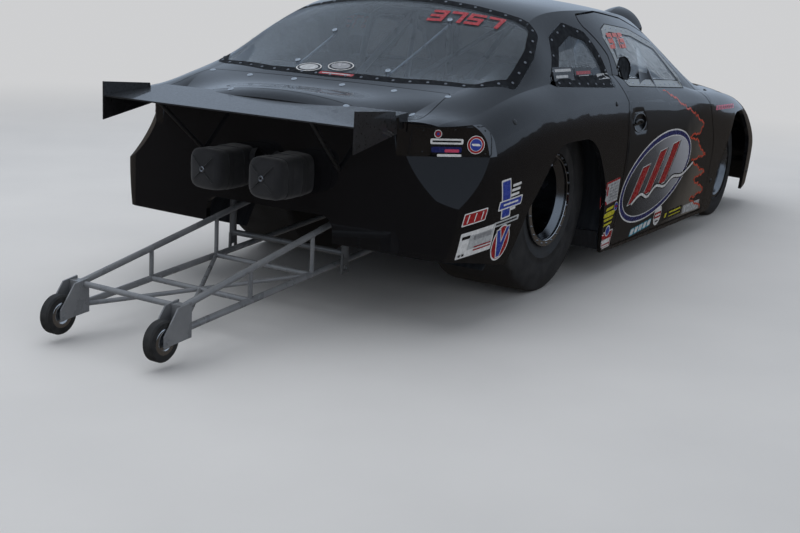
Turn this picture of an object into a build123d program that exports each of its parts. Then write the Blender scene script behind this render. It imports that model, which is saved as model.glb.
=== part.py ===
"""A drag racing car: a closed two-door body on a tube chassis, in millimetres, +X forward and +Z up."""
import os

from build123d import *

os.makedirs("parts", exist_ok=True)

# Driving dimensions, with x counted from the rear axle
TAIL_X = -2067
NOSE_X = 3600
WHEELBASE = 2685
REAR_X = -(NOSE_X + TAIL_X) / 2
FRONT_X = REAR_X + WHEELBASE
SIDES = {"left": 1, "right": -1}

WALL = 25
GLASS = 6
SEAM = 8
BIG = 2500

REAR_TYRE_R = 435
REAR_TYRE_W = 430
REAR_WHEEL_Y = 585
REAR_RIM_R = 203
FRONT_TYRE_R = 327
FRONT_TYRE_W = 115
FRONT_WHEEL_Y = 737
FRONT_RIM_R = 190
KINGPIN_Y = 640
WHEELIE_R = 75
WHEELIE_W = 42
WHEELIE_X = TAIL_X + WHEELIE_R
WHEELIE_Y = 252
WHEELIE_Z = 103
TUB_R = 505
TUB_INNER_Y = 335
SHEET = 6
RAIL_R = 22
HOOP_R = 19
TUBE_R = 16
DIAGONAL_R = 13
WELD_GAP = 0.3
SCRAP = 2500

# Body sections: x, then y and z of rocker, flank, shoulder, sill and roof edge, and the crown's z
STATIONS = [
    (-1110, (800, 325), (835, 490), (815, 700), (750, 812), (560, 842), 852),
    (-850, (840, 285), (880, 495), (865, 760), (790, 860), (610, 893), 908),
    (-600, (860, 240), (900, 505), (888, 800), (800, 905), (640, 955), 985),
    (-430, (868, 215), (905, 510), (893, 830), (800, 935), (660, 1010), 1075),
    (-180, (873, 180), (909, 515), (896, 850), (800, 960), (665, 1140), 1212),
    (0, (875, 150), (911, 518), (896, 858), (805, 975), (625, 1225), 1303),
    (350, (878, 122), (913, 520), (894, 862), (815, 985), (655, 1280), 1342),
    (900, (878, 110), (915, 515), (899, 845), (815, 970), (648, 1276), 1338),
    (1449, (878, 106), (917, 505), (904, 812), (810, 925), (612, 1189), 1246),
    (1864, (878, 105), (917, 500), (908, 785), (835, 858), (640, 985), 1045),
    (2120, (880, 105), (916, 495), (903, 765), (815, 842), (600, 900), 925),
    (2450, (880, 105), (914, 490), (893, 742), (790, 818), (560, 862), 880),
    (2850, (870, 122), (894, 465), (860, 690), (760, 765), (530, 800), 815),
    (3200, (832, 145), (852, 435), (808, 615), (706, 685), (488, 715), 728),
    (3450, (772, 152), (790, 390), (742, 535), (645, 600), (440, 630), 640),
    (3620, (676, 158), (694, 330), (650, 450), (568, 510), (390, 535), 542),
]


def write(label, piece):
    """One sub-part, labelled and written to its own file."""
    piece.label = label
    export_step(piece, f"parts/{label}.step")


def section_points(row, inset):
    """The left half of a section from rocker to crown, moved in by inset."""
    outline = list(row[1:6]) + [(0, row[6])]
    if not inset:
        return outline
    moved = []
    for index, point in enumerate(outline):
        before = outline[max(index - 1, 0)]
        after = outline[index + 1] if index < 5 else (-outline[4][0], outline[4][1])
        along = Vector(after[0] - before[0], after[1] - before[1]).normalized()
        moved.append((point[0] - along.Y * inset, point[1] + along.X * inset))
    moved[0] = (moved[0][0], outline[0][1] - 3 * WALL)
    moved[5] = (0, row[6] - inset)
    return moved


def between(points, index):
    """A point of the smooth curve half way from points[index] to the next."""
    closed = [points[0]] + points + [(-points[-2][0], points[-2][1])]
    a, b, c, d = closed[index:index + 4]
    return tuple((9 * (b[k] + c[k]) - a[k] - d[k]) / 16 for k in (0, 1))


def body_form(inset):
    """The closed form of the whole body, moved in by inset."""
    with BuildPart() as form:
        for row in STATIONS:
            half = section_points(row, inset)
            with BuildSketch(Plane.YZ.offset(REAR_X + row[0])):
                with BuildLine():
                    for side in (1, -1):
                        for index in range(4):
                            a, m, b = half[index], between(half, index), half[index + 1]
                            ThreePointArc((side * a[0], a[1]), (side * m[0], m[1]), (side * b[0], b[1]))
                    edge = half[4]
                    ThreePointArc(edge, half[5], (-edge[0], edge[1]))
                    rocker = half[0]
                    Line(rocker, (-rocker[0], rocker[1]))
                make_face()
        loft()
        with BuildSketch(Plane.XY):
            with BuildLine(Location((REAR_X, 0))):
                tail = (-1085 + inset, 0)
                nose = (NOSE_X - inset, 0)
                ThreePointArc((-1040 + inset, 780), tail, (-1040 + inset, -780))
                ThreePointArc((3500 - inset, 700), nose, (3500 - inset, -700))
                for side in (1, -1):
                    tail_side, nose_side = (-1040 + inset, side * 780), (3500 - inset, side * 700)
                    ThreePointArc(tail_side, (-1000 + inset, side * 850), (-900, side * 960))
                    ThreePointArc(nose_side, (3430 - inset, side * 850), (3250, side * 960))
                    Line((-900, side * 960), (3250, side * 960))
            make_face()
        extrude(amount=BIG, both=True, mode=Mode.INTERSECT)
        with BuildSketch(Plane.XZ):
            with BuildLine(Location((REAR_X, 0))):
                brow = (3330 - inset, 770)
                chin = (3480 - inset, 60)
                ThreePointArc(brow, (NOSE_X - inset, 400), chin)
                Polyline(chin, (3480 - inset, -BIG), (-BIG, -BIG), (-BIG, BIG), (3330 - inset, BIG), brow)
            make_face()
        extrude(amount=BIG, both=True, mode=Mode.INTERSECT)
    return form.part


def side_prism(points, radius, side, grow=0.0):
    """A prism along y over one side of the car, with the outline given in x and z."""
    with BuildPart() as prism:
        with BuildSketch(Plane.XZ):
            with Locations((REAR_X, 0)):
                Polygon(*points, align=None)
            if radius:
                fillet(vertices(), radius)
            if grow:
                offset(amount=grow)
        extrude(amount=-side * BIG / 2)
    return prism.part


def top_prism(points, radius, bottom, grow=0.0):
    """A prism along z above the height bottom, with the outline given in x and y."""
    with BuildPart() as prism:
        with BuildSketch(Plane.XY.offset(bottom)):
            with Locations((REAR_X, 0)):
                Polygon(*points, align=None)
            if radius:
                fillet(vertices(), radius)
            if grow:
                offset(amount=grow)
        extrude(amount=BIG)
    return prism.part


# Panel outlines
DOOR = [(604, 135), (612, 400), (645, 860), (540, 1080), (325, 1256), (620, 1276),
        (1000, 1246), (1400, 1168), (1862, 858), (1972, 765), (2082, 500), (2090, 135)]
DOOR_GLASS = [(712, 925), (1740, 872), (1385, 1128), (1000, 1202), (640, 1226), (505, 1190)]
QUARTER_GLASS = [(-140, 955), (578, 925), (350, 1190), (215, 1228), (40, 1165)]
REAR_GLASS = [(-680, 0), (-664, 360), (-590, 690), (-440, 790), (-190, 752), (-30, 690), (5, 580), (5, 0)]
WINDSHIELD = [(1500, 0), (1480, 350), (1440, 578), (1843, 752), (1990, 600), (2085, 300), (2105, 0)]
DECK = [(-706, 630), (-1012, 668), (-1012, -668), (-706, -630)]
HOOD = [(2150, 600), (2150, -600), (3380, -470), (3380, 470)]
COWL = [(1300, 900), (1300, -900), (1900, -900), (2045, -640), (2130, -330), (2148, 0),
        (2130, 330), (2045, 640), (1900, 900)]
CLIP_SEAM = [(1980, 1500), (1980, 772), (2090, 505), (2096, -50), (4000, -50), (4000, 1500)]
REAR_ARCH = [(-935, -500), (-445, 460), (-189, 716), (217, 716), (398, 470), (639, -500)]
FRONT_ARCH = [(2240, -500), (2280, 410), (2535, 694), (2830, 694), (3055, 470), (3105, -500)]
REAR_ARCH_R = 250
FRONT_ARCH_R = 210

LAMP_FRONT = (-797, 886)
LAMP_REAR = (-1057, 642)
LAMP_RUN = 150
LAMP_DEPTH = 30
LAMP_BOTTOM = 712
LAMP_TOP = 838

# How far outside the lamps' faces the tail's corners lie below them: height and distance
UNDERCUT = [(LAMP_BOTTOM, 0), (600, 55), (450, 200)]

NOTCH_HALF = 330
NOTCH_TOP = 430

# Scoop sections: x, half width and top
SCOOP_SECTIONS = [(2170, 70, 940), (2330, 140, 1120), (2520, 168, 1250), (2700, 172, 1300)]
SCOOP_FOOT = 780
SCOOP_WALL = 10
SCOOP_KNEE = 0.75
SCOOP_CORNER = (0.68, 0.3)

# Door handle cup
CUP = (785, 747)
CUP_SIZE = (84, 42)
CUP_FLOOR_Y = 896


def both_halves(points):
    """An outline in x and y given for +y, closed by its mirror image."""
    return points + [(x, -y) for x, y in reversed(points) if y]


# Body skin
outside = body_form(0)
under_glass = body_form(GLASS)
inside = body_form(WALL)
skin = outside - inside
glass_skin = outside - under_glass

with BuildPart() as clip_zone:
    with BuildSketch(Plane.XZ):
        with Locations((REAR_X, 0)):
            Polygon(*CLIP_SEAM, align=None)
    extrude(amount=BIG / 2, both=True)
    add(top_prism(COWL, 60, 790), mode=Mode.SUBTRACT)
with BuildPart() as shell_zone:
    with BuildSketch(Plane.XZ):
        with Locations((REAR_X, 0)):
            Polygon(*CLIP_SEAM, align=None)
        offset(amount=SEAM / 2)
    extrude(amount=BIG / 2, both=True)
    add(top_prism(COWL, 60, 790, -SEAM / 2), mode=Mode.SUBTRACT)

rear_pane_zone = top_prism(both_halves(REAR_GLASS), 60, 900)
rear_hole_zone = top_prism(both_halves(REAR_GLASS), 60, 900, -28)
front_pane_zone = top_prism(both_halves(WINDSHIELD), 50, 800)
front_hole_zone = top_prism(both_halves(WINDSHIELD), 50, 800, -28)


def corner_zone(depth, bottom, top, side):
    """What lies outside the lamp's slanting face, moved in by depth, between two heights."""
    along = Vector(LAMP_REAR[0] - LAMP_FRONT[0], LAMP_REAR[1] - LAMP_FRONT[1]).normalized()
    into = Vector(-along.Y, along.X) * depth
    front = Vector(*LAMP_FRONT) - along * LAMP_RUN + into
    rear = Vector(*LAMP_REAR) + along * LAMP_RUN + into
    with BuildPart() as zone:
        with BuildSketch(Plane.XY.offset(bottom)):
            with Locations((REAR_X, 0)):
                Polygon((front.X, side * front.Y), (rear.X, side * rear.Y),
                        (rear.X, side * BIG / 2), (front.X, side * BIG / 2), align=None)
        extrude(amount=top - bottom)
    return zone.part


def undercut_zone(depth, side):
    """What lies outside a tail corner's face below the lamp, moved in by depth."""
    along = Vector(LAMP_REAR[0] - LAMP_FRONT[0], LAMP_REAR[1] - LAMP_FRONT[1]).normalized()
    with BuildPart() as zone:
        for height, distance in UNDERCUT:
            into = Vector(-along.Y, along.X) * (depth - distance)
            front = Vector(*LAMP_FRONT) - along * LAMP_RUN + into
            rear = Vector(*LAMP_REAR) + along * LAMP_RUN + into
            with BuildSketch(Plane.XY.offset(height)):
                with Locations((REAR_X, 0)):
                    Polygon((front.X, side * front.Y), (rear.X, side * rear.Y),
                            (rear.X, side * BIG / 2), (front.X, side * BIG / 2), align=None)
        loft()
    return zone.part


# Tail lamps, each on a slanting face across a rear corner
for name, side in SIDES.items():
    pocket = corner_zone(0, LAMP_BOTTOM, LAMP_TOP, side)
    lamp = corner_zone(LAMP_DEPTH, LAMP_BOTTOM, LAMP_TOP, side) & outside
    with BuildPart() as lens:
        add(lamp)
        add(pocket, mode=Mode.SUBTRACT)
        add(top_prism(DECK, 20, 700, SEAM / 2), mode=Mode.SUBTRACT)
    write(f"tail_lamp_{name}", lens.part)

# The tail panel's notch over the wheelie bar
with BuildPart() as tail_notch:
    with BuildSketch(Plane.YZ.offset(REAR_X - 1200)):
        Rectangle(2 * NOTCH_HALF, 2 * NOTCH_TOP)
        fillet(vertices(), 60)
    extrude(amount=300)

with BuildPart() as body_shell:
    add(skin)
    for side in SIDES.values():
        add(corner_zone(LAMP_DEPTH, LAMP_BOTTOM - WALL, LAMP_TOP + WALL, side) & outside)
        add(undercut_zone(WALL, side) & outside)
    add(shell_zone.part, mode=Mode.SUBTRACT)
    for side in SIDES.values():
        add(corner_zone(LAMP_DEPTH, LAMP_BOTTOM, LAMP_TOP, side), mode=Mode.SUBTRACT)
        add(undercut_zone(0, side), mode=Mode.SUBTRACT)
        add(side_prism(DOOR, 30, side, SEAM), mode=Mode.SUBTRACT)
        add(side_prism(REAR_ARCH, REAR_ARCH_R, side), mode=Mode.SUBTRACT)
        add(side_prism(QUARTER_GLASS, 25, side, -25), mode=Mode.SUBTRACT)
        add(glass_skin & side_prism(QUARTER_GLASS, 25, side), mode=Mode.SUBTRACT)
    add(top_prism(DECK, 20, 700, SEAM / 2), mode=Mode.SUBTRACT)
    add(tail_notch.part, mode=Mode.SUBTRACT)
    add(rear_hole_zone, mode=Mode.SUBTRACT)
    add(glass_skin & rear_pane_zone, mode=Mode.SUBTRACT)
    add(front_hole_zone, mode=Mode.SUBTRACT)
    add(glass_skin & front_pane_zone, mode=Mode.SUBTRACT)
write("body_shell", body_shell.part)
write("rear_window", glass_skin & rear_pane_zone)
write("windshield", glass_skin & front_pane_zone)
write("deck_lid", skin & top_prism(DECK, 20, 700))

with BuildPart() as front_clip:
    add(skin & clip_zone.part)
    for side in SIDES.values():
        add(side_prism(FRONT_ARCH, FRONT_ARCH_R, side), mode=Mode.SUBTRACT)
    add(top_prism(HOOD, 40, 560, SEAM / 2), mode=Mode.SUBTRACT)
write("front_clip", front_clip.part)

def scoop(wall):
    """The scoop's closed form, thinner by wall and moved forward by it."""
    with BuildPart() as form:
        for x, half_width, top in SCOOP_SECTIONS:
            half, high = half_width - wall, top - wall
            knee = high - half * SCOOP_KNEE
            corner = (half * SCOOP_CORNER[0], high - half * SCOOP_CORNER[1])
            with BuildSketch(Plane.YZ.offset(REAR_X + x + wall)):
                with BuildLine():
                    Polyline((half, knee), (half, SCOOP_FOOT), (-half, SCOOP_FOOT), (-half, knee))
                    ThreePointArc((half, knee), corner, (0, high))
                    ThreePointArc((0, high), (-corner[0], corner[1]), (-half, knee))
                make_face()
        loft()
    return form.part


# Hood with its scoop's opening, and the scoop on it
scoop_hollow = scoop(SCOOP_WALL)
with BuildPart() as hood_scoop:
    add(scoop(0))
    add(scoop_hollow, mode=Mode.SUBTRACT)
    add(outside, mode=Mode.SUBTRACT)
write("hood_scoop", hood_scoop.part)
with BuildPart() as hood:
    add(skin & top_prism(HOOD, 40, 560))
    add(scoop_hollow, mode=Mode.SUBTRACT)
write("hood", hood.part)

with BuildPart() as quarter_windows:
    for side in SIDES.values():
        add(glass_skin & side_prism(QUARTER_GLASS, 25, side))
write("quarter_windows", quarter_windows.part)

# Doors, each with a cup for its handle
for name, side in SIDES.items():
    door_glass = glass_skin & side_prism(DOOR_GLASS, 40, side)
    with BuildPart() as door:
        add(skin & side_prism(DOOR, 30, side))
        add(side_prism(DOOR_GLASS, 40, side, -25), mode=Mode.SUBTRACT)
        add(door_glass, mode=Mode.SUBTRACT)
        with BuildSketch(Plane.XZ.offset(-side * CUP_FLOOR_Y)):
            with Locations((REAR_X + CUP[0], CUP[1])):
                Ellipse(*CUP_SIZE)
        extrude(amount=-side * BIG / 8, mode=Mode.SUBTRACT)
        with BuildSketch(Plane.XZ.offset(-side * (CUP_FLOOR_Y - 4))):
            with Locations((REAR_X + CUP[0], CUP[1])):
                SlotOverall(110, 22)
        extrude(amount=-side * 11)
    write(f"door_{name}", door.part)
    write(f"door_window_{name}", door_glass)


def at(x, y, z):
    """A point given from the rear axle, as the car's own place."""
    return Vector(REAR_X + x, y, z)


def bar(start, end, radius, extra=0.0):
    """A round bar from start to end, run on by extra at both ends."""
    first, last = at(*start), at(*end)
    along = (last - first).normalized()
    with BuildPart() as rod:
        with BuildSketch(Plane(origin=first - along * extra, z_dir=along)):
            Circle(radius)
        extrude(amount=(last - first).length + 2 * extra)
    return rod.part


def across(x, half, z, radius):
    """A round bar straight across the car."""
    return bar((x, -half, z), (x, half, z), radius)


def block(x, y, z):
    """A box spanning three ranges, each a pair of low and high."""
    with BuildPart() as box:
        with BuildSketch(Plane.XY.offset(z[0])):
            with Locations((REAR_X + (x[0] + x[1]) / 2, (y[0] + y[1]) / 2)):
                Rectangle(x[1] - x[0], y[1] - y[0])
        extrude(amount=z[1] - z[0])
    return box.part


def side_sheet(points, half_width):
    """A solid across the car with the outline given in x and z."""
    with BuildPart() as sheet:
        with BuildSketch(Plane.XZ):
            with Locations((REAR_X, 0)):
                Polygon(*points, align=None)
        extrude(amount=half_width, both=True)
    return sheet.part


def bent(points, bend, radius):
    """A tube bent along the points, each given as x from the rear axle, y and z."""
    with BuildPart() as pipe:
        with BuildLine() as path:
            FilletPolyline(*[at(*point) for point in points], radius=bend)
        with BuildSketch(path.line ^ 0):
            Circle(radius)
        sweep()
    return pipe.part


def cut_free(bars, others=()):
    """The bars as solids that don't touch: each pair is a bar and the same bar grown by the gap."""
    kept = []
    grown = list(others)
    for piece, wide in bars:
        for other in grown:
            near, far = piece.bounding_box(), other.bounding_box()
            low = [max(a, b) for a, b in zip(near.min, far.min)]
            high = [min(a, b) for a, b in zip(near.max, far.max)]
            if all(a < b for a, b in zip(low, high)):
                piece = piece - other
        kept += [solid for solid in piece.solids() if solid.volume > SCRAP]
        grown.append(wide)
    return kept, grown


# Tube chassis and cage: points, bend and radius of the bent tubes that each side has
RAIL_Z = 165
REAR_RAIL_Z = 560
FRAME_Y = 300
BENT_TUBES = [
    ([(440, 690, RAIL_Z), (1900, 690, RAIL_Z), (2260, 330, 200), (3240, FRAME_Y, 230)], 120, RAIL_R),
    ([(430, FRAME_Y, RAIL_Z), (250, FRAME_Y, REAR_RAIL_Z), (-940, FRAME_Y, REAR_RAIL_Z)], 90, RAIL_R),
    ([(540, 470, 1225), (1330, 520, 1160), (1800, 770, 800), (1850, 690, RAIL_Z)], 100, HOOP_R),
    ([(1812, 600, 740), (2685, 500, 650), (3230, FRAME_Y, 420), (3230, FRAME_Y, 225)], 80, TUBE_R),
]
# Straight tubes of each side: start, end and radius
STRAIGHT_TUBES = [
    ((-930, FRAME_Y, REAR_RAIL_Z), (-930, FRAME_Y, 235), TUBE_R),
    ((566, 697, 620), (1845, 697, 220), TUBE_R),
    ((562, 693, 300), (1836, 722, 470), DIAGONAL_R),
    ((541, FRAME_Y, 1225), (-560, FRAME_Y, REAR_RAIL_Z), TUBE_R),
    ((541, FRAME_Y - 10, 1222), (-560, -FRAME_Y + 10, REAR_RAIL_Z + 5), DIAGONAL_R),
    ((2685, 500, 640), (2700, 322, 215), TUBE_R),
]
# Tubes straight across: x, half length, z and radius
CROSS_TUBES = [
    (450, 690, RAIL_Z, TUBE_R), (1160, 690, RAIL_Z, TUBE_R), (1870, 690, RAIL_Z, TUBE_R),
    (563, 665, 820, TUBE_R), (1300, 510, 1160, TUBE_R), (1806, 758, 740, TUBE_R),
    (-930, FRAME_Y, REAR_RAIL_Z, TUBE_R), (-930, FRAME_Y, 250, DIAGONAL_R),
    (-480, FRAME_Y, REAR_RAIL_Z, TUBE_R), (180, FRAME_Y, REAR_RAIL_Z, TUBE_R),
    (-147, FRAME_Y, 809, DIAGONAL_R), (2300, 327, 201, TUBE_R),
    (3225, FRAME_Y, 240, DIAGONAL_R), (3225, FRAME_Y, 405, DIAGONAL_R),
]
HOOP = [(560, 690, RAIL_Z), (570, 700, 700), (540, 560, 1225), (540, -560, 1225),
        (570, -700, 700), (560, -690, RAIL_Z)]
LINK_Y = 250
PLATE = 8
LINK_PLATE = [(415, 170), (450, 170), (292, 540), (255, 540)]
# Tow eyes below the frame's ends: outline in x and z, and the hole's x and z
TOW_PLATE = 10
TOW_HOLE_R = 12.5
TOW_EYES = [([(3215, 225), (3255, 225), (3258, 62), (3212, 62)], 3235, 86),
            ([(-952, 250), (-908, 250), (-905, 166), (-955, 166)], -930, 190)]
frame_bars = []
for points, bend, radius in BENT_TUBES[:1] + [(HOOP, 110, HOOP_R)] + BENT_TUBES[1:]:
    for side in SIDES.values() if points is not HOOP else (1,):
        path = [(x, side * y, z) for x, y, z in points]
        frame_bars.append((bent(path, bend, radius), bent(path, bend, radius + WELD_GAP)))
frame_solids, frame_grown = cut_free(frame_bars)
chassis_frame = Compound(frame_solids)
write("chassis_frame", chassis_frame)

brace_bars = []
for side in SIDES.values():
    for start, end, radius in STRAIGHT_TUBES:
        ends = [(x, side * y, z) for x, y, z in (start, end)]
        brace_bars.append((bar(*ends, radius), bar(*ends, radius + WELD_GAP, WELD_GAP)))
for x, half, z, radius in CROSS_TUBES:
    brace_bars.append((across(x, half, z, radius), across(x, half + WELD_GAP, z, radius + WELD_GAP)))
for side in SIDES.values():
    ends = [(3230, side * FRAME_Y, 330), (3600, side * 310, 350)]
    brace_bars.append((bar(*ends, DIAGONAL_R) & inside, bar(*ends, DIAGONAL_R + WELD_GAP)))
    for outline, hole_x, hole_z in TOW_EYES:
        hole = bar((hole_x, -PLATE, hole_z), (hole_x, PLATE, hole_z), TOW_HOLE_R)
        eye = Pos(0, side * FRAME_Y, 0) * (side_sheet(outline, TOW_PLATE / 2) - hole)
        brace_bars.append((eye, Pos(0, side * FRAME_Y, 0) * side_sheet(outline, TOW_PLATE / 2 + WELD_GAP)))
    link_plate = Pos(0, side * (LINK_Y + 27), 0) * side_sheet(LINK_PLATE, PLATE / 2)
    brace_bars.append((link_plate, link_plate))
frame_braces = Compound(cut_free(brace_bars, frame_grown)[0])
write("frame_braces", frame_braces)

# Wheel tubs
with BuildPart() as tub_form:
    with BuildSketch(Plane.XZ):
        with Locations((REAR_X, REAR_TYRE_R)):
            Circle(TUB_R)
        with Locations((REAR_X, 0)):
            Polygon((-300, 250), (-433, 696), (-732, 200), (-300, 200), align=None)
        with Locations((REAR_X, 0)):
            Rectangle(BIG, 460, mode=Mode.SUBTRACT)
    extrude(amount=BIG / 2, both=True)
with BuildPart() as tub_hollow:
    with BuildSketch(Plane.XZ):
        with Locations((REAR_X, REAR_TYRE_R)):
            Circle(TUB_R - SHEET)
        with Locations((REAR_X, 0)):
            Polygon((-300, 250), (-427.6, 692.5), (-730, 190), (-300, 190), align=None)
    extrude(amount=BIG / 2, both=True)
FLOOR_TOP = RAIL_Z - RAIL_R - 1
DECK_FLOOR = 590
with BuildPart() as wheel_tubs:
    for side in SIDES.values():
        outer_span = block((-760, 600), sorted((side * TUB_INNER_Y, side * 930)), (200, 1000))
        add(tub_form.part & outer_span & inside)
        inner_span = block((-760, 600), sorted((side * (TUB_INNER_Y + SHEET), side * 1000)), (150, 1000))
        add(tub_hollow.part & inner_span, mode=Mode.SUBTRACT)
        under_deck = block((-760, 600), sorted((side * 300, side * 400)), (150, DECK_FLOOR - SHEET))
        add(under_deck, mode=Mode.SUBTRACT)
write("wheel_tubs", wheel_tubs.part)


def strip(line, thickness):
    """The outline of a sheet that follows a line on its right-hand side."""
    edges = [(Vector(*b) - Vector(*a)).normalized() for a, b in zip(line, line[1:])]
    under = []
    for index, point in enumerate(line):
        before = edges[max(index - 1, 0)]
        after = edges[min(index, len(edges) - 1)]
        corner = (before + after).normalized()
        reach = thickness / (corner.X * after.X + corner.Y * after.Y)
        under.append((point[0] + corner.Y * reach, point[1] - corner.X * reach))
    return list(line) + under[::-1]


# Floor, tunnel, toe board and the sheet over the rear frame
FLOOR_LINE = [(-960, DECK_FLOOR), (285, DECK_FLOOR), (475, FLOOR_TOP), (1960, FLOOR_TOP),
              (1990, 300), (1990, 900)]
FLOOR_JOINTS = (470, 1955)
TUNNEL_R = 185
TUNNEL_Z = 290
with BuildPart() as tunnel:
    with BuildSketch(Plane.YZ.offset(REAR_X + 430)):
        with Locations((0, TUNNEL_Z)):
            Circle(TUNNEL_R)
        with Locations((0, TUNNEL_Z / 2)):
            Rectangle(2 * TUNNEL_R, TUNNEL_Z)
    extrude(amount=1990 + SHEET - 430)
with BuildPart() as tunnel_hollow:
    with BuildSketch(Plane.YZ.offset(REAR_X + 250)):
        with Locations((0, TUNNEL_Z)):
            Circle(TUNNEL_R - SHEET)
        with Locations((0, TUNNEL_Z / 2)):
            Rectangle(2 * (TUNNEL_R - SHEET), TUNNEL_Z)
    extrude(amount=BIG)
# Straight tubes that pass through the sheet: start and end
THROUGH = [((541, FRAME_Y, 1225), (-560, FRAME_Y, REAR_RAIL_Z)),
           ((541, FRAME_Y - 10, 1222), (-560, -FRAME_Y + 10, REAR_RAIL_Z + 5)),
           ((1900, 690, RAIL_Z), (2260, 330, 200)), ((1812, 600, 740), (2685, 500, 650))]
with BuildPart() as floor_pan:
    with BuildSketch(Plane.XZ):
        with Locations((REAR_X, 0)):
            Polygon(*strip(FLOOR_LINE, SHEET), align=None)
    extrude(amount=BIG / 2, both=True)
    add(tunnel.part & side_sheet([(300, 590), (475, 100), (1960, 100), (1996, 300), (1996, 600)], 300))
    add(tunnel_hollow.part, mode=Mode.SUBTRACT)
    add(inside, mode=Mode.INTERSECT)
    for side in SIDES.values():
        add(block((-760, 600), sorted((side * TUB_INNER_Y, side * 1000)), (200, 1000)) & tub_form.part,
            mode=Mode.SUBTRACT)
        add(undercut_zone(WALL + 1, side), mode=Mode.SUBTRACT)
        add(bar((400, side * 690, RAIL_Z), (560, side * 690, RAIL_Z), RAIL_R + 1), mode=Mode.SUBTRACT)
        for start, end in THROUGH:
            add(bar((start[0], side * start[1], start[2]), (end[0], side * end[1], end[2]), 25),
                mode=Mode.SUBTRACT)
    for x in (450, 1160, 1870):
        add(across(x, 690, RAIL_Z, TUBE_R), mode=Mode.SUBTRACT)
    for side in SIDES.values():
        add(bar((-60, side * 190, 470), (-147, side * 190, 826), 45), mode=Mode.SUBTRACT)
    for x in FLOOR_JOINTS:
        add(block((x, x + 1), (-BIG / 2, BIG / 2), (100, 1000)), mode=Mode.SUBTRACT)
write("floor_pan", floor_pan.part)

# Seat: a shell seen from the side, with raised wings, on a bracket
SEAT_Y = 425
with BuildPart() as seat:
    with BuildSketch(Plane.XZ.offset(-SEAT_Y)):
        with BuildLine(Location((REAR_X, 0))):
            Polyline((1230, 300), (860, 235), (800, 260), (685, 800), (700, 900), (660, 905),
                     (640, 800), (740, 215), (860, 190), (1230, 250), (1230, 300))
        make_face()
    extrude(amount=225, both=True)
    for side in SIDES.values():
        with BuildSketch(Plane.XZ.offset(-SEAT_Y - side * 217)):
            with BuildLine(Location((REAR_X, 0))):
                Polyline((1230, 250), (1230, 360), (1000, 390), (900, 480), (840, 760), (700, 860),
                         (645, 790), (740, 215), (860, 190), (1230, 250))
            make_face()
        extrude(amount=8, both=True)
    add(block((820, 1130), (SEAT_Y - 180, SEAT_Y - 172), (FLOOR_TOP, 215)))
    add(block((820, 1130), (SEAT_Y + 172, SEAT_Y + 180), (FLOOR_TOP, 215)))
write("seat", seat.part)

# Instrument panel hung from the tube across under the windshield
with BuildPart() as dash_panel:
    add(side_sheet([(1809, 756), (1809, 764), (1580, 800), (1545, 690), (1553, 690), (1586, 791)], 560))
write("dash_panel", dash_panel.part)

# Steering column and wheel
COLUMN_START = (1985, SEAT_Y, 555)
COLUMN_END = (1330, SEAT_Y, 700)
WHEEL_CENTRE = (1290, SEAT_Y, 709)
with BuildPart() as steering_column:
    add(bar(COLUMN_START, COLUMN_END, 16))
    add(block((1800, 1818), (SEAT_Y - 9, SEAT_Y + 9), (590, 724)))
    add(floor_pan.part, mode=Mode.SUBTRACT)
write("steering_column", steering_column.part)
column_axis = (at(*COLUMN_END) - at(*COLUMN_START)).normalized()
with BuildPart() as steering_wheel:
    with BuildSketch(Plane(origin=at(*COLUMN_END) + column_axis * 1, z_dir=column_axis)):
        Circle(28)
    extrude(amount=40)
    rim_plane = Plane(origin=at(*WHEEL_CENTRE), x_dir=(0, 1, 0), z_dir=column_axis)
    with BuildSketch(rim_plane):
        Circle(165)
        Circle(145, mode=Mode.SUBTRACT)
        Rectangle(300, 26)
        with Locations((0, -75)):
            Rectangle(26, 150)
    extrude(amount=9, both=True)
write("steering_wheel", steering_wheel.part)

# Engine as one block, transmission and driveshaft
ENGINE_X = (2070, 2640)
ENGINE_HALF = 245
with BuildPart() as engine_block:
    add(block(ENGINE_X, (-ENGINE_HALF, ENGINE_HALF), (262, 640)))
    add(block((2120, 2600), (-120, 120), (640, 800)))
write("engine_block", engine_block.part)

# Exhaust headers: four pipes of each side to a collector that ends in the wheel arch
PORTS_X = (2170, 2290, 2410, 2530)
PORT_Z = 480
PORT_HALF = 32
FLANGE = 8
PIPE_R = 20
COLLECTOR_X = 2266
COLLECTOR = [(500, 352), (640, 300), (850, 240)]
COLLECTOR_R = 45
COLLECTOR_BORE = [(700, 282.9), (850, 240)]
with BuildPart() as exhaust_headers:
    for side in SIDES.values():
        for port_x in PORTS_X:
            inlet_x = COLLECTOR_X + (port_x - 2350) * 0.12
            path = [(port_x, ENGINE_HALF, PORT_Z), (port_x, 335, 470),
                    (inlet_x, 480, 366), (inlet_x, 530, 346)]
            add(bent([(x, side * y, z) for x, y, z in path], 40, PIPE_R))
            flange_y = sorted((side * ENGINE_HALF, side * (ENGINE_HALF + FLANGE)))
            add(block((port_x - PORT_HALF, port_x + PORT_HALF), flange_y, (PORT_Z - 30, PORT_Z + 30)))
        add(bent([(COLLECTOR_X, side * y, z) for y, z in COLLECTOR], 80, COLLECTOR_R))
        bore_ends = [(COLLECTOR_X, side * y, z) for y, z in COLLECTOR_BORE]
        add(bar(*bore_ends, COLLECTOR_R - 4, 1), mode=Mode.SUBTRACT)
    add(engine_block.part, mode=Mode.SUBTRACT)
write("exhaust_headers", exhaust_headers.part)

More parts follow.
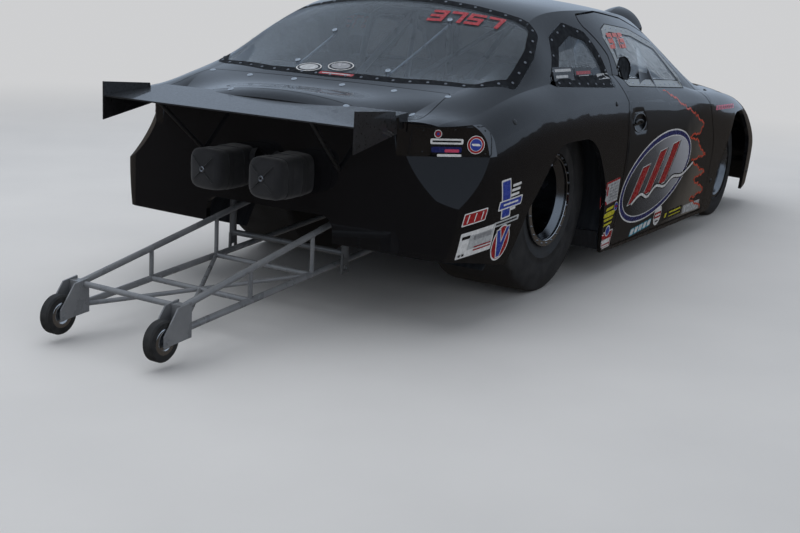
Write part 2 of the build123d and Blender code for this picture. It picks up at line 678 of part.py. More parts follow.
CRANK_Z = 310
TAIL_SHAFT_X = 1150
PINION_X = 300
with BuildPart() as transmission:
    add(bar((1900, 0, CRANK_Z), (2070, 0, CRANK_Z), 165))
    add(bar((1400, 0, CRANK_Z), (1900, 0, CRANK_Z), 120))
    add(bar((TAIL_SHAFT_X, 0, CRANK_Z), (1400, 0, CRANK_Z), 65))
    add(floor_pan.part, mode=Mode.SUBTRACT)
write("transmission", transmission.part)
with BuildPart() as driveshaft:
    add(bar((PINION_X + 60, 0, 395), (TAIL_SHAFT_X - 60, 0, CRANK_Z), 45))
    add(bar((PINION_X, 0, 401), (PINION_X + 70, 0, 394), 30))
    add(bar((TAIL_SHAFT_X - 70, 0, CRANK_Z), (TAIL_SHAFT_X, 0, CRANK_Z), 30))
write("driveshaft", driveshaft.part)

# Rear axle housing with its brackets, links and spring struts
AXLE_END_Y = 385
with BuildPart() as rear_axle:
    add(across(0, AXLE_END_Y, REAR_TYRE_R, 42))
    add(bar((-130, 0, REAR_TYRE_R), (130, 0, REAR_TYRE_R), 140))
    add(bar((130, 0, REAR_TYRE_R), (PINION_X, 0, 401), 55))
    for side in SIDES.values():
        bracket = side_sheet([(-70, 245), (40, 245), (55, 540), (-90, 570)], PLATE / 2)
        add(Pos(0, side * (LINK_Y + 22), 0) * bracket)
        add(Pos(0, side * (LINK_Y - 22), 0) * bracket)
        add(bar((0, side * AXLE_END_Y, REAR_TYRE_R), (0, side * 480, REAR_TYRE_R), 30))
        add(block((-140, -36), sorted((side * 372, side * 382)), (REAR_TYRE_R - 20, REAR_TYRE_R + 20)))
        add(block((-140, -112), sorted((side * 372, side * 420)), (REAR_TYRE_R - 20, REAR_TYRE_R + 20)))
        add(block((-168, -108), sorted((side * 417, side * 453)), (REAR_TYRE_R - 40, REAR_TYRE_R + 40)))
        add(block((-155, -90), sorted((side * 425, side * 445)), (REAR_TYRE_R - 50, REAR_TYRE_R + 50)),
            mode=Mode.SUBTRACT)
    add(driveshaft.part, mode=Mode.SUBTRACT)
write("rear_axle", rear_axle.part)
with BuildPart() as rear_links:
    for side in SIDES.values():
        y = side * LINK_Y
        for start, end in (((20, y, 275), (400, y, 235)), ((30, y, 520), (298, y, 470))):
            add(bar(start, end, 15))
            for point in (start, end):
                add(bar((point[0], y - side * 18, point[2]), (point[0], y + side * 22, point[2]), 8))
        add(bar((-60, side * 190, 480), (-147, side * 190, 809), 30))
        add(bar((-60, side * 190, 470), (-60, side * 232, 470), 10))
    add(rear_axle.part, mode=Mode.SUBTRACT)
    add(chassis_frame, mode=Mode.SUBTRACT)
    add(frame_braces, mode=Mode.SUBTRACT)
write("rear_links", rear_links.part)

# Wheelie bar, carried on the rear axle
BAR_R = 13
with BuildPart() as wheelie_bar:
    for side in SIDES.values():
        y = side * WHEELIE_Y
        add(bar((-1900, y, 118), (-62, y, 262), BAR_R))
        add(bar((-1900, y, 200), (-62, y, 545), BAR_R))
        for x, low, high in ((-1500, 150, 274), (-1100, 181, 348)):
            add(bar((x, y, low), (x, y, high), 9))
        fork = [(-1870, 95), (-1870, 225), (-1940, 215), (-2010, 125), (-2010, 85)]
        for offset_y in (-1, 1):
            plate_y = y + offset_y * (WHEELIE_W / 2 + 9)
            add(Pos(0, plate_y, 0) * side_sheet(fork, 3))
        add(block((-1912, -1872), (y - 33, y + 33), (100, 215)))
        add(bar((WHEELIE_X, y - 38, WHEELIE_Z), (WHEELIE_X, y + 38, WHEELIE_Z), 8))
    for x, z in ((-1890, 205), (-1500, 150), (-1100, 181)):
        add(across(x, WHEELIE_Y, z, 11))
    for side in SIDES.values():
        add(bar((-1890, side * WHEELIE_Y, 119), (-1100, -side * WHEELIE_Y, 181), 9))
    add(rear_axle.part, mode=Mode.SUBTRACT)
write("wheelie_bar", wheelie_bar.part)
for name, side in SIDES.items():
    centre = Plane(origin=at(WHEELIE_X, side * WHEELIE_Y, WHEELIE_Z), x_dir=(1, 0, 0), z_dir=(0, -1, 0))
    with BuildPart() as wheelie_wheel:
        with BuildSketch(centre):
            Circle(WHEELIE_R)
            Circle(9, mode=Mode.SUBTRACT)
        extrude(amount=WHEELIE_W / 2, both=True)
        chamfer(wheelie_wheel.edges().filter_by(GeomType.CIRCLE).sort_by(SortBy.RADIUS)[-2:], 6)
    write(f"wheelie_wheel_{name}", wheelie_wheel.part)


def tyre(radius, width, bead, crown_width):
    """A tyre turned about the y axis, as a solid ring."""
    half, crown = width / 2, crown_width / 2
    wall = bead + (radius - bead) * 0.45
    with BuildPart() as ring:
        with BuildSketch(Plane.YZ):
            Polygon((half - 25, bead), (half, wall), (crown, radius - 12), (crown - 14, radius),
                    (14 - crown, radius), (-crown, radius - 12), (-half, wall), (25 - half, bead),
                    align=None)
        revolve(axis=Axis.Y)
    return ring.part


def rim(bead, half, face_y, face_r, hub_r, bore_r, disc_y, disc_r):
    """A wheel turned about the y axis: barrel, lips, centre and brake disc, its face at face_y."""
    with BuildPart() as wheel:
        with BuildSketch(Plane.YZ):
            with BuildLine():
                lip, edge = bead + 16, half - 9
                Polyline((-half, lip), (-half, bead - 8), (-half + 30, bead - 14), (half - 40, bead - 30),
                         (half - 8, bead - 10), (half, bead + 2), (half, lip), (edge, lip),
                         (edge, bead), (-edge, bead), (-edge, lip), (-half, lip))
            make_face()
        revolve(axis=Axis.Y)
        with BuildSketch(Plane.XZ.offset(-face_y)):
            Circle(face_r)
            Circle(bore_r, mode=Mode.SUBTRACT)
            with PolarLocations(face_r * 0.62, 5):
                Circle(face_r * 0.2, mode=Mode.SUBTRACT)
        extrude(amount=7, both=True)
        with BuildSketch(Plane.XZ.offset(-face_y)):
            Circle(hub_r)
            Circle(bore_r, mode=Mode.SUBTRACT)
        extrude(amount=22, both=True)
        with BuildSketch(Plane.XZ.offset(-disc_y)):
            Circle(disc_r)
            Circle(bore_r, mode=Mode.SUBTRACT)
        extrude(amount=DISC_HALF, both=True)
        with BuildSketch(Plane.XZ.offset(-disc_y)):
            Circle(hub_r + 12)
            Circle(bore_r, mode=Mode.SUBTRACT)
        extrude(amount=disc_y - face_y)
    return wheel.part


DISC_HALF = 4
rear_tyre = tyre(REAR_TYRE_R, REAR_TYRE_W, REAR_RIM_R, 400)
front_tyre = tyre(FRONT_TYRE_R, FRONT_TYRE_W, FRONT_RIM_R, 92)
rear_rim = rim(REAR_RIM_R, 207, -105, REAR_RIM_R - 16, 60, 31, -150, 150)
front_rim = rim(FRONT_RIM_R, 50, 12, FRONT_RIM_R - 14, 45, 21, -36, 125)
for name, side in SIDES.items():
    turn = Rot(0, 0, 0) if side > 0 else Rot(0, 0, 180)
    write(f"rear_tyre_{name}", Pos(REAR_X, side * REAR_WHEEL_Y, REAR_TYRE_R) * turn * rear_tyre)
    write(f"rear_wheel_{name}", Pos(REAR_X, side * REAR_WHEEL_Y, REAR_TYRE_R) * turn * rear_rim)
    write(f"front_tyre_{name}", Pos(FRONT_X, side * FRONT_WHEEL_Y, FRONT_TYRE_R) * turn * front_tyre)
    write(f"front_wheel_{name}", Pos(FRONT_X, side * FRONT_WHEEL_Y, FRONT_TYRE_R) * turn * front_rim)

# Steering knuckles with brake calipers, and the arms and struts that carry them
KNUCKLE_R = 25
KNUCKLE_LOW = 200
KNUCKLE_HIGH = 470
ARM_X = WHEELBASE + 110
ARM_Y = 632
ARM_Z = 222
for name, side in SIDES.items():
    y = side * KINGPIN_Y
    with BuildPart() as knuckle:
        add(bar((WHEELBASE, y, KNUCKLE_LOW), (WHEELBASE, y, KNUCKLE_HIGH), KNUCKLE_R))
        add(bar((WHEELBASE, y, FRONT_TYRE_R), (WHEELBASE, side * (FRONT_WHEEL_Y + 30), FRONT_TYRE_R), 20))
        add(bar((WHEELBASE, y, ARM_Z), (ARM_X, side * ARM_Y, ARM_Z), 12, 4))
        add(bar((ARM_X, side * ARM_Y, ARM_Z), (ARM_X, side * ARM_Y, 276), 5))
        add(bar((ARM_X, side * ARM_Y, 267), (ARM_X, side * ARM_Y, 276), 9))
        add(block((WHEELBASE - 20, WHEELBASE + 20), sorted((y, side * 690)), (425, 455)))
        add(block((WHEELBASE - 40, WHEELBASE + 40), sorted((side * 682, side * 720)), (415, 472)))
        add(block((WHEELBASE - 50, WHEELBASE + 50), sorted((side * 692, side * 710)), (405, 457)),
            mode=Mode.SUBTRACT)
    write(f"knuckle_{name}", knuckle.part)
RACK_Z = 252
RACK_R = 12
RACK_HALF = 255
HOUSING_HALF = 215
HOUSING_R = 17
ROD_R = 8
END_X = ARM_X - 4.7
with BuildPart() as front_suspension:
    for side in SIDES.values():
        y = side * KINGPIN_Y
        add(bar((WHEELBASE, y, 178), (WHEELBASE, y, KNUCKLE_LOW - 1), 20))
        add(bar((WHEELBASE, y, 181), (WHEELBASE - 130, side * 325, 205), 14))
        add(bar((WHEELBASE, y, 181), (WHEELBASE + 110, side * 320, 212), 14))
        add(bar((WHEELBASE, y, KNUCKLE_HIGH + 1), (WHEELBASE, y, 640), 22))
        top_plate = sorted((side * 500, side * (KINGPIN_Y + 25)))
        add(block((WHEELBASE - 45, WHEELBASE + 45), top_plate, (634, 642)))
        add(block((ARM_X - 15, ARM_X + 15), sorted((side * 190, side * HOUSING_HALF)), (222, RACK_Z)))
        add(block((ARM_X - 15, ARM_X + 15), sorted((side * 190, side * FRAME_Y)), (222, 234)))
    add(across(ARM_X, HOUSING_HALF, RACK_Z, HOUSING_R))
    add(across(ARM_X, FRAME_Y, RACK_Z, RACK_R + 0.06), mode=Mode.SUBTRACT)
    add(chassis_frame, mode=Mode.SUBTRACT)
    add(frame_braces, mode=Mode.SUBTRACT)
write("front_suspension", front_suspension.part)

# Steering rack with its tie rods, each ending in an eye over a knuckle's arm
with BuildPart() as steering_rack:
    add(across(ARM_X, RACK_HALF, RACK_Z, RACK_R))
    for side in SIDES.values():
        y = side * ARM_Y
        add(bar((END_X, y, RACK_Z - ROD_R), (END_X, y, RACK_Z + ROD_R), 20))
        add(bar((ARM_X, side * (RACK_HALF - 5), RACK_Z), (ARM_X, side * (ARM_Y - 16), RACK_Z), ROD_R))
        add(bar((END_X, y, RACK_Z - 20), (END_X, y, RACK_Z + 20), 14), mode=Mode.SUBTRACT)
write("steering_rack", steering_rack.part)

# Rear spoiler with side plates and props
BLADE = [(-1385, 838), (-1385, 844), (-1018, 876), (-1018, 815), (-1078, 815), (-1082, 862)]
with BuildPart() as rear_spoiler:
    add(side_sheet(BLADE, 620))
    add(outside, mode=Mode.SUBTRACT)
    for side in SIDES.values():
        with BuildSketch(Plane.XZ.offset(-side * 623)):
            with Locations((REAR_X, 0)):
                Polygon((-1395, 745), (-1395, 902), (-1120, 886), (-1100, 800), align=None)
        extrude(amount=3, both=True)
        add(bar((-1330, side * 380, 842), (-1000, side * 340, 560), 9))
    add(outside, mode=Mode.SUBTRACT)
write("rear_spoiler", rear_spoiler.part)

# Parachute packs on the tail panel
with BuildPart() as parachute_packs:
    for side in SIDES.values():
        add(block((-1330, -1060), sorted((side * 60, side * 240)), (500, 680)))
    add(block((-1100, -1060), (-60, 60), (560, 620)))
    fillet(parachute_packs.edges().filter_by(Axis.X), 25)
    add(outside, mode=Mode.SUBTRACT)
write("parachute_packs", parachute_packs.part)
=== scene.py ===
import math
import random

import bmesh
import bpy
from mathutils import Matrix, Vector, noise
from mathutils.bvhtree import BVHTree
from mathutils.geometry import delaunay_2d_cdt


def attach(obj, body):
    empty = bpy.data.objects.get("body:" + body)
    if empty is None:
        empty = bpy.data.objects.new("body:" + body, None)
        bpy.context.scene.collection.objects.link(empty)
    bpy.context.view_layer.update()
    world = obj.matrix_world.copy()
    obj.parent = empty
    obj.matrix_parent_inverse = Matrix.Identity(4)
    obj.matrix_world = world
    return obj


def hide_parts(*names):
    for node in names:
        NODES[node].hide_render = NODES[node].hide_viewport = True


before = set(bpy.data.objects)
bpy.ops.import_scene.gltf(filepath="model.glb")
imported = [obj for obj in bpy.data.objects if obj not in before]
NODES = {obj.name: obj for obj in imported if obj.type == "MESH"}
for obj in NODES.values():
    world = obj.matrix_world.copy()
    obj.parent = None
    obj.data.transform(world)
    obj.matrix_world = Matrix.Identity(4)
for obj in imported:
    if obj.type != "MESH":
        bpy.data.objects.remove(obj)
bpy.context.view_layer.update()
scene = bpy.context.scene
random.seed(7)

# Places from the part's source, in metres
REAR_X = -0.7665
FRONT_X = REAR_X + 2.685
SIDES = {"left": 1, "right": -1}
REAR_TYRE_R = 0.435
REAR_TYRE_W = 0.43
REAR_WHEEL_Y = 0.585
REAR_RIM_R = 0.203
FRONT_TYRE_R = 0.327
FRONT_TYRE_W = 0.115
FRONT_WHEEL_Y = 0.737
FRONT_RIM_R = 0.19
SEAT_Y = 0.425

# Camera from the photograph's view
CAMERA = Vector((-5.7215, -2.963, 1.346))
LOOK = Vector((0.83657, 0.49726, -0.22998))
LEVEL = Vector((0.52124, -0.85166, 0.05460))
UPWARD = Vector((0.16871, 0.16555, 0.97166))
eye = bpy.data.objects.new("camera", bpy.data.cameras.new("camera"))
eye.data.lens = 53.16
eye.data.sensor_width = 36
turn = Matrix((LEVEL, UPWARD, -LOOK)).transposed().to_4x4()
eye.matrix_world = Matrix.Translation(CAMERA) @ turn
scene.collection.objects.link(eye)
scene.camera = eye
scene.view_settings.view_transform = "Standard"


# Materials
def node(tree, kind, inputs=None, **settings):
    """A shader node with its settings, and its inputs set or linked."""
    made = tree.nodes.new("ShaderNode" + kind)
    for key, value in settings.items():
        setattr(made, key, value)
    for key, value in (inputs or {}).items():
        if isinstance(value, bpy.types.NodeSocket):
            tree.links.new(value, made.inputs[key])
        else:
            made.inputs[key].default_value = value
    return made


def ramp(tree, factor, stops):
    """A colour ramp with the given (place, colour) stops."""
    made = node(tree, "ValToRGB", {"Fac": factor})
    elements = made.color_ramp.elements
    while len(elements) < len(stops):
        elements.new(0.5)
    for element, (place, colour) in zip(elements, stops):
        element.position = place
        element.color = (*colour, 1)
    return made.outputs["Color"]


def spread(tree, factor, low, high, start=0.3, end=0.7):
    """A factor between start and end, carried over to low and high."""
    made = node(tree, "MapRange", {"Value": factor, "From Min": start, "From Max": end,
                                   "To Min": low, "To Max": high})
    return made.outputs["Result"]


def clouds(tree, place, scale, detail, rough=0.5):
    """The strength of soft noise at a place."""
    made = node(tree, "TexNoise", {"Vector": place, "Scale": scale, "Detail": detail, "Roughness": rough})
    return made.outputs["Fac"]


def maths(tree, operation, *values, **settings):
    """The result of one operation on the values."""
    return node(tree, "Math", dict(enumerate(values)), operation=operation, **settings).outputs[0]


def blank(name):
    """A new material with its tree, its shader and its object coordinates."""
    material = bpy.data.materials.new(name)
    material.use_nodes = True
    tree = material.node_tree
    shader = tree.nodes["Principled BSDF"]
    place = node(tree, "TexCoord").outputs["Object"]
    return material, tree, shader, place


def settle(shader, values):
    """Sets a shader's inputs by their names."""
    for key, value in values.items():
        shader.inputs[key].default_value = value


def dress(tree, shader, tone, rough):
    """Links a shader's colour and roughness."""
    tree.links.new(tone, shader.inputs["Base Color"])
    tree.links.new(rough, shader.inputs["Roughness"])


def relief(tree, shader, height, strength, distance=0.001):
    """Gives a shader fine relief and returns the normal."""
    made = node(tree, "Bump", {"Height": height, "Strength": strength, "Distance": distance})
    tree.links.new(made.outputs["Normal"], shader.inputs["Normal"])
    return made.outputs["Normal"]


def surface(name, dark, light, scale=6.0, rough=(0.3, 0.5), grain=300.0, bump=0.1, metal=0.0,
            coat=0.0, sheen=0.0, stretch=(1, 1, 1), specular=0.5):
    """A finish whose colour, roughness and fine relief vary over the surface."""
    material, tree, shader, place = blank(name)
    laid = node(tree, "Mapping", {"Vector": place, "Scale": stretch}).outputs["Vector"]
    cloud = clouds(tree, laid, scale, 5, 0.6)
    dress(tree, shader, ramp(tree, cloud, [(0.3, dark), (0.7, light)]), spread(tree, cloud, *rough))
    relief(tree, shader, clouds(tree, laid, grain, 3), bump)
    settle(shader, {"Metallic": metal, "Coat Weight": coat, "Coat Roughness": 0.04, "Sheen Weight": sheen,
                    "Specular IOR Level": specular})
    return material


def grime(tree, place, colour, low, high):
    """The colour with road dust mixed in towards the ground, in patches."""
    height = node(tree, "SeparateXYZ", {"Vector": place}).outputs["Z"]
    near = spread(tree, height, 1.0, 0.0, low, high)
    patches = spread(tree, clouds(tree, place, 9, 8, 0.7), 0.0, 0.22)
    share = maths(tree, "MULTIPLY", near, patches, use_clamp=True)
    mixed = node(tree, "Mix", {"Factor": share, "A": colour, "B": (0.075, 0.066, 0.057, 1)},
                 data_type="RGBA")
    return mixed.outputs["Result"], share


def lacquer(name, dark, light, silver=None):
    """Gloss body paint with fine flake and low dust; with silver, it turns silver towards the front."""
    material, tree, shader, place = blank(name)
    flake = node(tree, "TexVoronoi", {"Vector": place, "Scale": 900}).outputs["Color"]
    tone = ramp(tree, flake, [(0.2, dark), (0.9, light)])
    if silver:
        parts = node(tree, "SeparateXYZ", {"Vector": place}).outputs
        lean = maths(tree, "MULTIPLY_ADD", parts["Z"], -0.5, parts["X"])
        soft = maths(tree, "MULTIPLY_ADD", clouds(tree, place, 4, 4), 0.5, lean)
        fade = spread(tree, soft, 0.0, 1.0, 0.72, 1.25)
        metal = ramp(tree, flake, [(0.1, tuple(c * 0.6 for c in silver)), (0.9, silver)])
        tone = node(tree, "Mix", {"Factor": fade, "A": tone, "B": metal},
                    data_type="RGBA").outputs["Result"]
        tree.links.new(spread(tree, fade, 0.0, 0.2, 0, 1), shader.inputs["Metallic"])
    dusty, share = grime(tree, place, tone, 0.08, 0.36)
    dress(tree, shader, dusty, spread(tree, share, 0.34 if silver else 0.16, 0.6, 0.0, 0.3))
    normal = relief(tree, shader, clouds(tree, place, 60, 2), 0.04)
    tree.links.new(normal, shader.inputs["Coat Normal"])
    settle(shader, {"Specular IOR Level": 0.12, "Coat Weight": 1.0, "Coat IOR": 1.38,
                    "Coat Roughness": 0.025})
    return material


def graded(name, dark, light, low, high, rough=0.2):
    """Printed film that brightens evenly along the car."""
    material, tree, shader, place = blank(name)
    parts = node(tree, "SeparateXYZ", {"Vector": place}).outputs
    lean = maths(tree, "MULTIPLY_ADD", parts["Z"], 0.7, parts["X"])
    middle = tuple(a * 0.8 + b * 0.2 for a, b in zip(dark, light))
    tone = ramp(tree, spread(tree, lean, 0.0, 1.0, low, high), [(0.0, dark), (0.5, middle), (1.0, light)])
    dress(tree, shader, tone, spread(tree, clouds(tree, place, 40, 4), rough * 0.8, rough * 1.3))
    settle(shader, {"Coat Weight": 0.6, "Coat Roughness": 0.06})
    return material


def clear(name, tint, rough):
    """Clear thin sheet with faint wear: its gloss is a coat, so what lies behind it isn't bent."""
    material, tree, shader, place = blank(name)
    haze = clouds(tree, place, 14, 6, 0.7)
    tone = ramp(tree, haze, [(0.3, tint), (0.7, tuple(min(1, c * 1.04) for c in tint))])
    dress(tree, shader, tone, spread(tree, haze, *rough))
    settle(shader, {"Transmission Weight": 1.0, "IOR": 1.02, "Coat Weight": 1.0, "Coat IOR": 1.45,
                    "Coat Roughness": 0.01})
    return material


def woven(name, dark, light, pitch, bump=0.6, rough=0.85, sheen=0.2):
    """Cloth or webbing with a plain weave of the given pitch."""
    material, tree, shader, place = blank(name)
    warp, weft = [node(tree, "TexWave", {"Vector": place, "Scale": 1 / pitch * 0.16, "Distortion": 0.4},
                       bands_direction=way).outputs["Fac"] for way in "XZ"]
    cloud = clouds(tree, place, 7, 6)
    tone = ramp(tree, cloud, [(0.3, dark), (0.7, light)])
    dress(tree, shader, tone, spread(tree, cloud, rough - 0.08, rough + 0.05))
    relief(tree, shader, maths(tree, "MULTIPLY", warp, weft), bump, pitch * 0.3)
    settle(shader, {"Sheen Weight": sheen})
    return material


def printed(name, colour, rough=0.25, coat=0.4):
    """Printed vinyl film: one ink with slight unevenness, under a thin gloss if it has a coat."""
    material, tree, shader, place = blank(name)
    cloud = clouds(tree, place, 45, 4)
    tone = ramp(tree, cloud, [(0.3, tuple(c * 0.85 for c in colour)), (0.7, colour)])
    dress(tree, shader, tone, spread(tree, cloud, rough * 0.8, rough * 1.3))
    settle(shader, {"Coat Weight": coat, "Coat Roughness": 0.08, "Specular IOR Level": 0.5
                    if coat else 0.15})
    return material


def rubber():
    """Drag tyre rubber, scuffed in soft patches."""
    material, tree, shader, place = blank("slick_rubber")
    cloud = clouds(tree, place, 16, 8, 0.7)
    tone = ramp(tree, cloud, [(0.3, (0.012, 0.012, 0.013)), (0.72, (0.04, 0.038, 0.037))])
    dress(tree, shader, tone, spread(tree, cloud, 0.5, 0.78))
    relief(tree, shader, clouds(tree, place, 240, 5), 0.5)
    return material


BLACK_PAINT = lacquer("gloss_black_paint", (0.0035, 0.0035, 0.004), (0.011, 0.011, 0.013))
SILVER_PAINT = lacquer("silver_fade_paint", (0.0035, 0.0035, 0.004), (0.011, 0.011, 0.013),
                       (0.25, 0.225, 0.19))
OVAL_FILL = graded("silver_oval_film", (0.008, 0.012, 0.018), (0.5, 0.52, 0.58), 0.2, 1.15)
LAMP_FILM = surface("mirror_black_lamp", (0.004, 0.004, 0.005), (0.009, 0.008, 0.008), 8, (0.02, 0.06), 40,
                    0.02, coat=1.0, specular=1.0)
# Pane tints darker than clear polycarbonate: partly the sheets' own tint, partly painted shade for the
# cabin seen through them
PANE = clear("clear_polycarbonate", (0.56, 0.62, 0.67), (0.0, 0.03))
SHADE_DARKENED_PANE = clear("shade_darkened_polycarbonate", (0.40, 0.46, 0.52), (0.0, 0.03))
CARBON = surface("carbon_black", (0.006, 0.006, 0.006), (0.02, 0.02, 0.022), 90, (0.25, 0.4), 600, 0.1,
                 coat=0.7)
PACK_CLOTH = woven("black_pack_cloth", (0.008, 0.008, 0.009), (0.022, 0.022, 0.025), 0.0025)
ALUMINIUM = surface("sheet_aluminium", (0.42, 0.43, 0.44), (0.62, 0.63, 0.64), 5, (0.28, 0.45), 160, 0.12,
                    metal=1.0, stretch=(1, 14, 1))
DARK_SHEET = surface("dark_sheet_metal", (0.028, 0.031, 0.037), (0.055, 0.06, 0.07), 5, (0.35, 0.5), 160,
                     0.12, metal=0.5, stretch=(1, 14, 1))
FRAME_PAINT = surface("grey_frame_paint", (0.07, 0.075, 0.082), (0.105, 0.11, 0.118), 8, (0.24, 0.36), 260,
                      0.06, coat=0.5)
SEAT_SHELL = surface("seat_shell_black", (0.012, 0.012, 0.013), (0.03, 0.03, 0.032), 30, (0.35, 0.5), 400,
                     0.2)
STEEL = surface("bare_steel", (0.3, 0.3, 0.31), (0.5, 0.5, 0.51), 12, (0.25, 0.42), 320, 0.1, metal=1.0)
GRIP = surface("suede_grip", (0.01, 0.01, 0.01), (0.03, 0.03, 0.03), 60, (0.8, 0.95), 900, 0.5, sheen=0.4)
CASTING = surface("cast_metal", (0.2, 0.205, 0.21), (0.36, 0.365, 0.37), 18, (0.42, 0.6), 420, 0.6,
                  metal=0.9)
HEADER = surface("heated_header_steel", (0.16, 0.12, 0.1), (0.34, 0.3, 0.28), 7, (0.25, 0.45), 240, 0.15,
                 metal=1.0)
AXLE_PAINT = surface("axle_black", (0.012, 0.012, 0.013), (0.03, 0.03, 0.03), 14, (0.3, 0.48), 300, 0.15,
                     coat=0.3)
SMALL_TYRE = surface("small_black_tyre", (0.012, 0.012, 0.012), (0.035, 0.034, 0.033), 40, (0.55, 0.75),
                     260, 0.5)
POLISHED = surface("polished_rim_metal", (0.74, 0.75, 0.76), (0.86, 0.87, 0.88), 9, (0.06, 0.16), 120, 0.03,
                   metal=1.0)
WHEEL_METAL = surface("brushed_wheel_metal", (0.22, 0.225, 0.235), (0.34, 0.345, 0.355), 9, (0.16, 0.3),
                      160, 0.06, metal=1.0)
BAR_PAINT = surface("pale_grey_bar_paint", (0.16, 0.17, 0.185), (0.23, 0.24, 0.255), 8, (0.22, 0.36), 260,
                    0.06, coat=0.6)
BLACK_RIM = surface("satin_black_rim", (0.01, 0.01, 0.011), (0.024, 0.024, 0.026), 16, (0.26, 0.4), 300,
                    0.08, coat=0.4)
WHITE_INK = printed("white_film", (0.78, 0.79, 0.8))
RED_INK = printed("red_film", (0.36, 0.012, 0.016))
TEAR_INK = printed("torn_edge_red", (0.62, 0.07, 0.03))
PALE_INK = printed("pale_grey_film", (0.48, 0.5, 0.52))
BLUE_INK = printed("blue_film", (0.03, 0.06, 0.36))
NAVY_INK = printed("navy_film", (0.012, 0.018, 0.13))
YELLOW_INK = printed("yellow_film", (0.6, 0.55, 0.02))
CYAN_INK = printed("cyan_film", (0.05, 0.42, 0.6))
PINK_INK = printed("pink_film", (0.62, 0.06, 0.14))
BLACK_INK = printed("black_film", (0.006, 0.006, 0.007))
GREY_INK = printed("grey_film", (0.3, 0.31, 0.33))
BORDER_INK = printed("black_window_border", (0.005, 0.005, 0.006), 0.55, 0.0)
HAZE_INK = printed("frosted_border", (0.34, 0.38, 0.41), 0.5)
BELT_WEB = woven("black_webbing", (0.006, 0.006, 0.007), (0.018, 0.018, 0.02), 0.002, 0.5, 0.7)
SEAT_CLOTH = woven("black_seat_cloth", (0.01, 0.01, 0.011), (0.026, 0.026, 0.03), 0.002, 0.6, 0.85, 0.3)
SPRING_PAINT = surface("red_spring_paint", (0.16, 0.01, 0.01), (0.26, 0.02, 0.018), 14, (0.25, 0.4), 300,
                       0.06, coat=0.5)
RUBBER = rubber()

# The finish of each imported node
FINISH = {
    BLACK_PAINT: ["body_shell", "deck_lid", "front_clip", "hood", "hood_scoop", "door_left", "door_right"],
    LAMP_FILM: ["tail_lamp_left", "tail_lamp_right"],
    PANE: ["windshield", "door_window_left", "door_window_right"],
    SHADE_DARKENED_PANE: ["rear_window", "quarter_windows"],
    CARBON: ["rear_spoiler", "dash_panel"],
    PACK_CLOTH: ["parachute_packs"],
    DARK_SHEET: ["floor_pan", "wheel_tubs"],
    FRAME_PAINT: ["chassis_frame", "frame_braces"],
    BAR_PAINT: ["wheelie_bar"],
    HEADER: ["exhaust_headers"],
    SEAT_SHELL: ["seat"],
    STEEL: ["steering_column", "rear_links", "driveshaft", "knuckle_left", "knuckle_right",
            "front_suspension", "steering_rack"],
    GRIP: ["steering_wheel"],
    CASTING: ["engine_block", "transmission"],
    AXLE_PAINT: ["rear_axle"],
    SMALL_TYRE: ["wheelie_wheel_left", "wheelie_wheel_right"],
    RUBBER: ["front_tyre_left", "front_tyre_right", "rear_tyre_left", "rear_tyre_right"],
    WHEEL_METAL: ["front_wheel_left", "front_wheel_right", "rear_wheel_left", "rear_wheel_right"],
}
for finish, names in FINISH.items():
    for name in names:
        for material_slot in NODES[name].material_slots:
            material_slot.material = finish


# Shapes in mesh code
def place_mesh(name, points, faces, material, body="car_body", smooth=True):
    """A mesh object with one material that rides on a body."""
    mesh = bpy.data.meshes.new(name)
    mesh.from_pydata([tuple(point) for point in points], [], faces)
    mesh.materials.append(material)
    for polygon in mesh.polygons:
        polygon.use_smooth = smooth
    mesh.update()
    piece = bpy.data.objects.new(name, mesh)
    scene.collection.objects.link(piece)
    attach(piece, body)
    return piece


def wall_faces(rings, count, closed=False, start=0):
    """Four-sided faces between rings of count points, and back to the first ring if it is closed."""
    faces = []
    for ring in range(rings if closed else rings - 1):
        low, high = start + ring * count, start + (ring + 1) % rings * count
        for i in range(count):
            j = (i + 1) % count
            faces.append((low + i, low + j, high + j, high + i))
    return faces


def heading(line, i, closed):
    """The direction of a line of points at one of them."""
    before = line[i - 1] if i or closed else line[i]
    after = line[(i + 1) % len(line)] if i < len(line) - 1 or closed else line[i]
    return (after - before).normalized()


def circle(first, second, radius, count):
    """Steps from a circle's centre to the points around it."""
    angles = [2 * math.pi * step / count for step in range(count)]
    return [(first * math.cos(angle) + second * math.sin(angle)) * radius for angle in angles]


def skin_tree(*names):
    """A search tree over the surfaces of the named nodes."""
    points, faces = [], []
    for name in names:
        start = len(points)
        mesh = NODES[name].data
        points += [vertex.co.copy() for vertex in mesh.vertices]
        faces += [[start + index for index in polygon.vertices] for polygon in mesh.polygons]
    return BVHTree.FromPolygons(points, faces)


def caster(tree, origin, direction, u_axis, v_axis):
    """Finds the outer surface under a place given by u and v, with its normal."""
    direction = direction.normalized()

    def cast(u, v):
        start = origin + u_axis * u + v_axis * v
        point, normal, _, _ = tree.ray_cast(start, direction)
        if point is None:
            point, normal, _, _ = tree.find_nearest(start + direction * 2)
        if normal.dot(direction) > 0:
            normal = -normal
        return point, normal
    return cast


def lay(cast, spot, lift):
    """The surface point under a flat place, raised by lift."""
    point, normal = cast(spot.x, spot.y)
    return point + normal * lift


def side_caster(tree, side):
    """Casts from one side of the car, with u forwards and v up."""
    return caster(tree, Vector((0, side * 2.5, 0)), Vector((0, -side, 0)), Vector((1, 0, 0)),
                  Vector((0, 0, 1)))


def top_caster(tree):
    """Casts from above, with u forwards and v to the left."""
    return caster(tree, Vector((0, 0, 3)), Vector((0, 0, -1)), Vector((1, 0, 0)), Vector((0, 1, 0)))


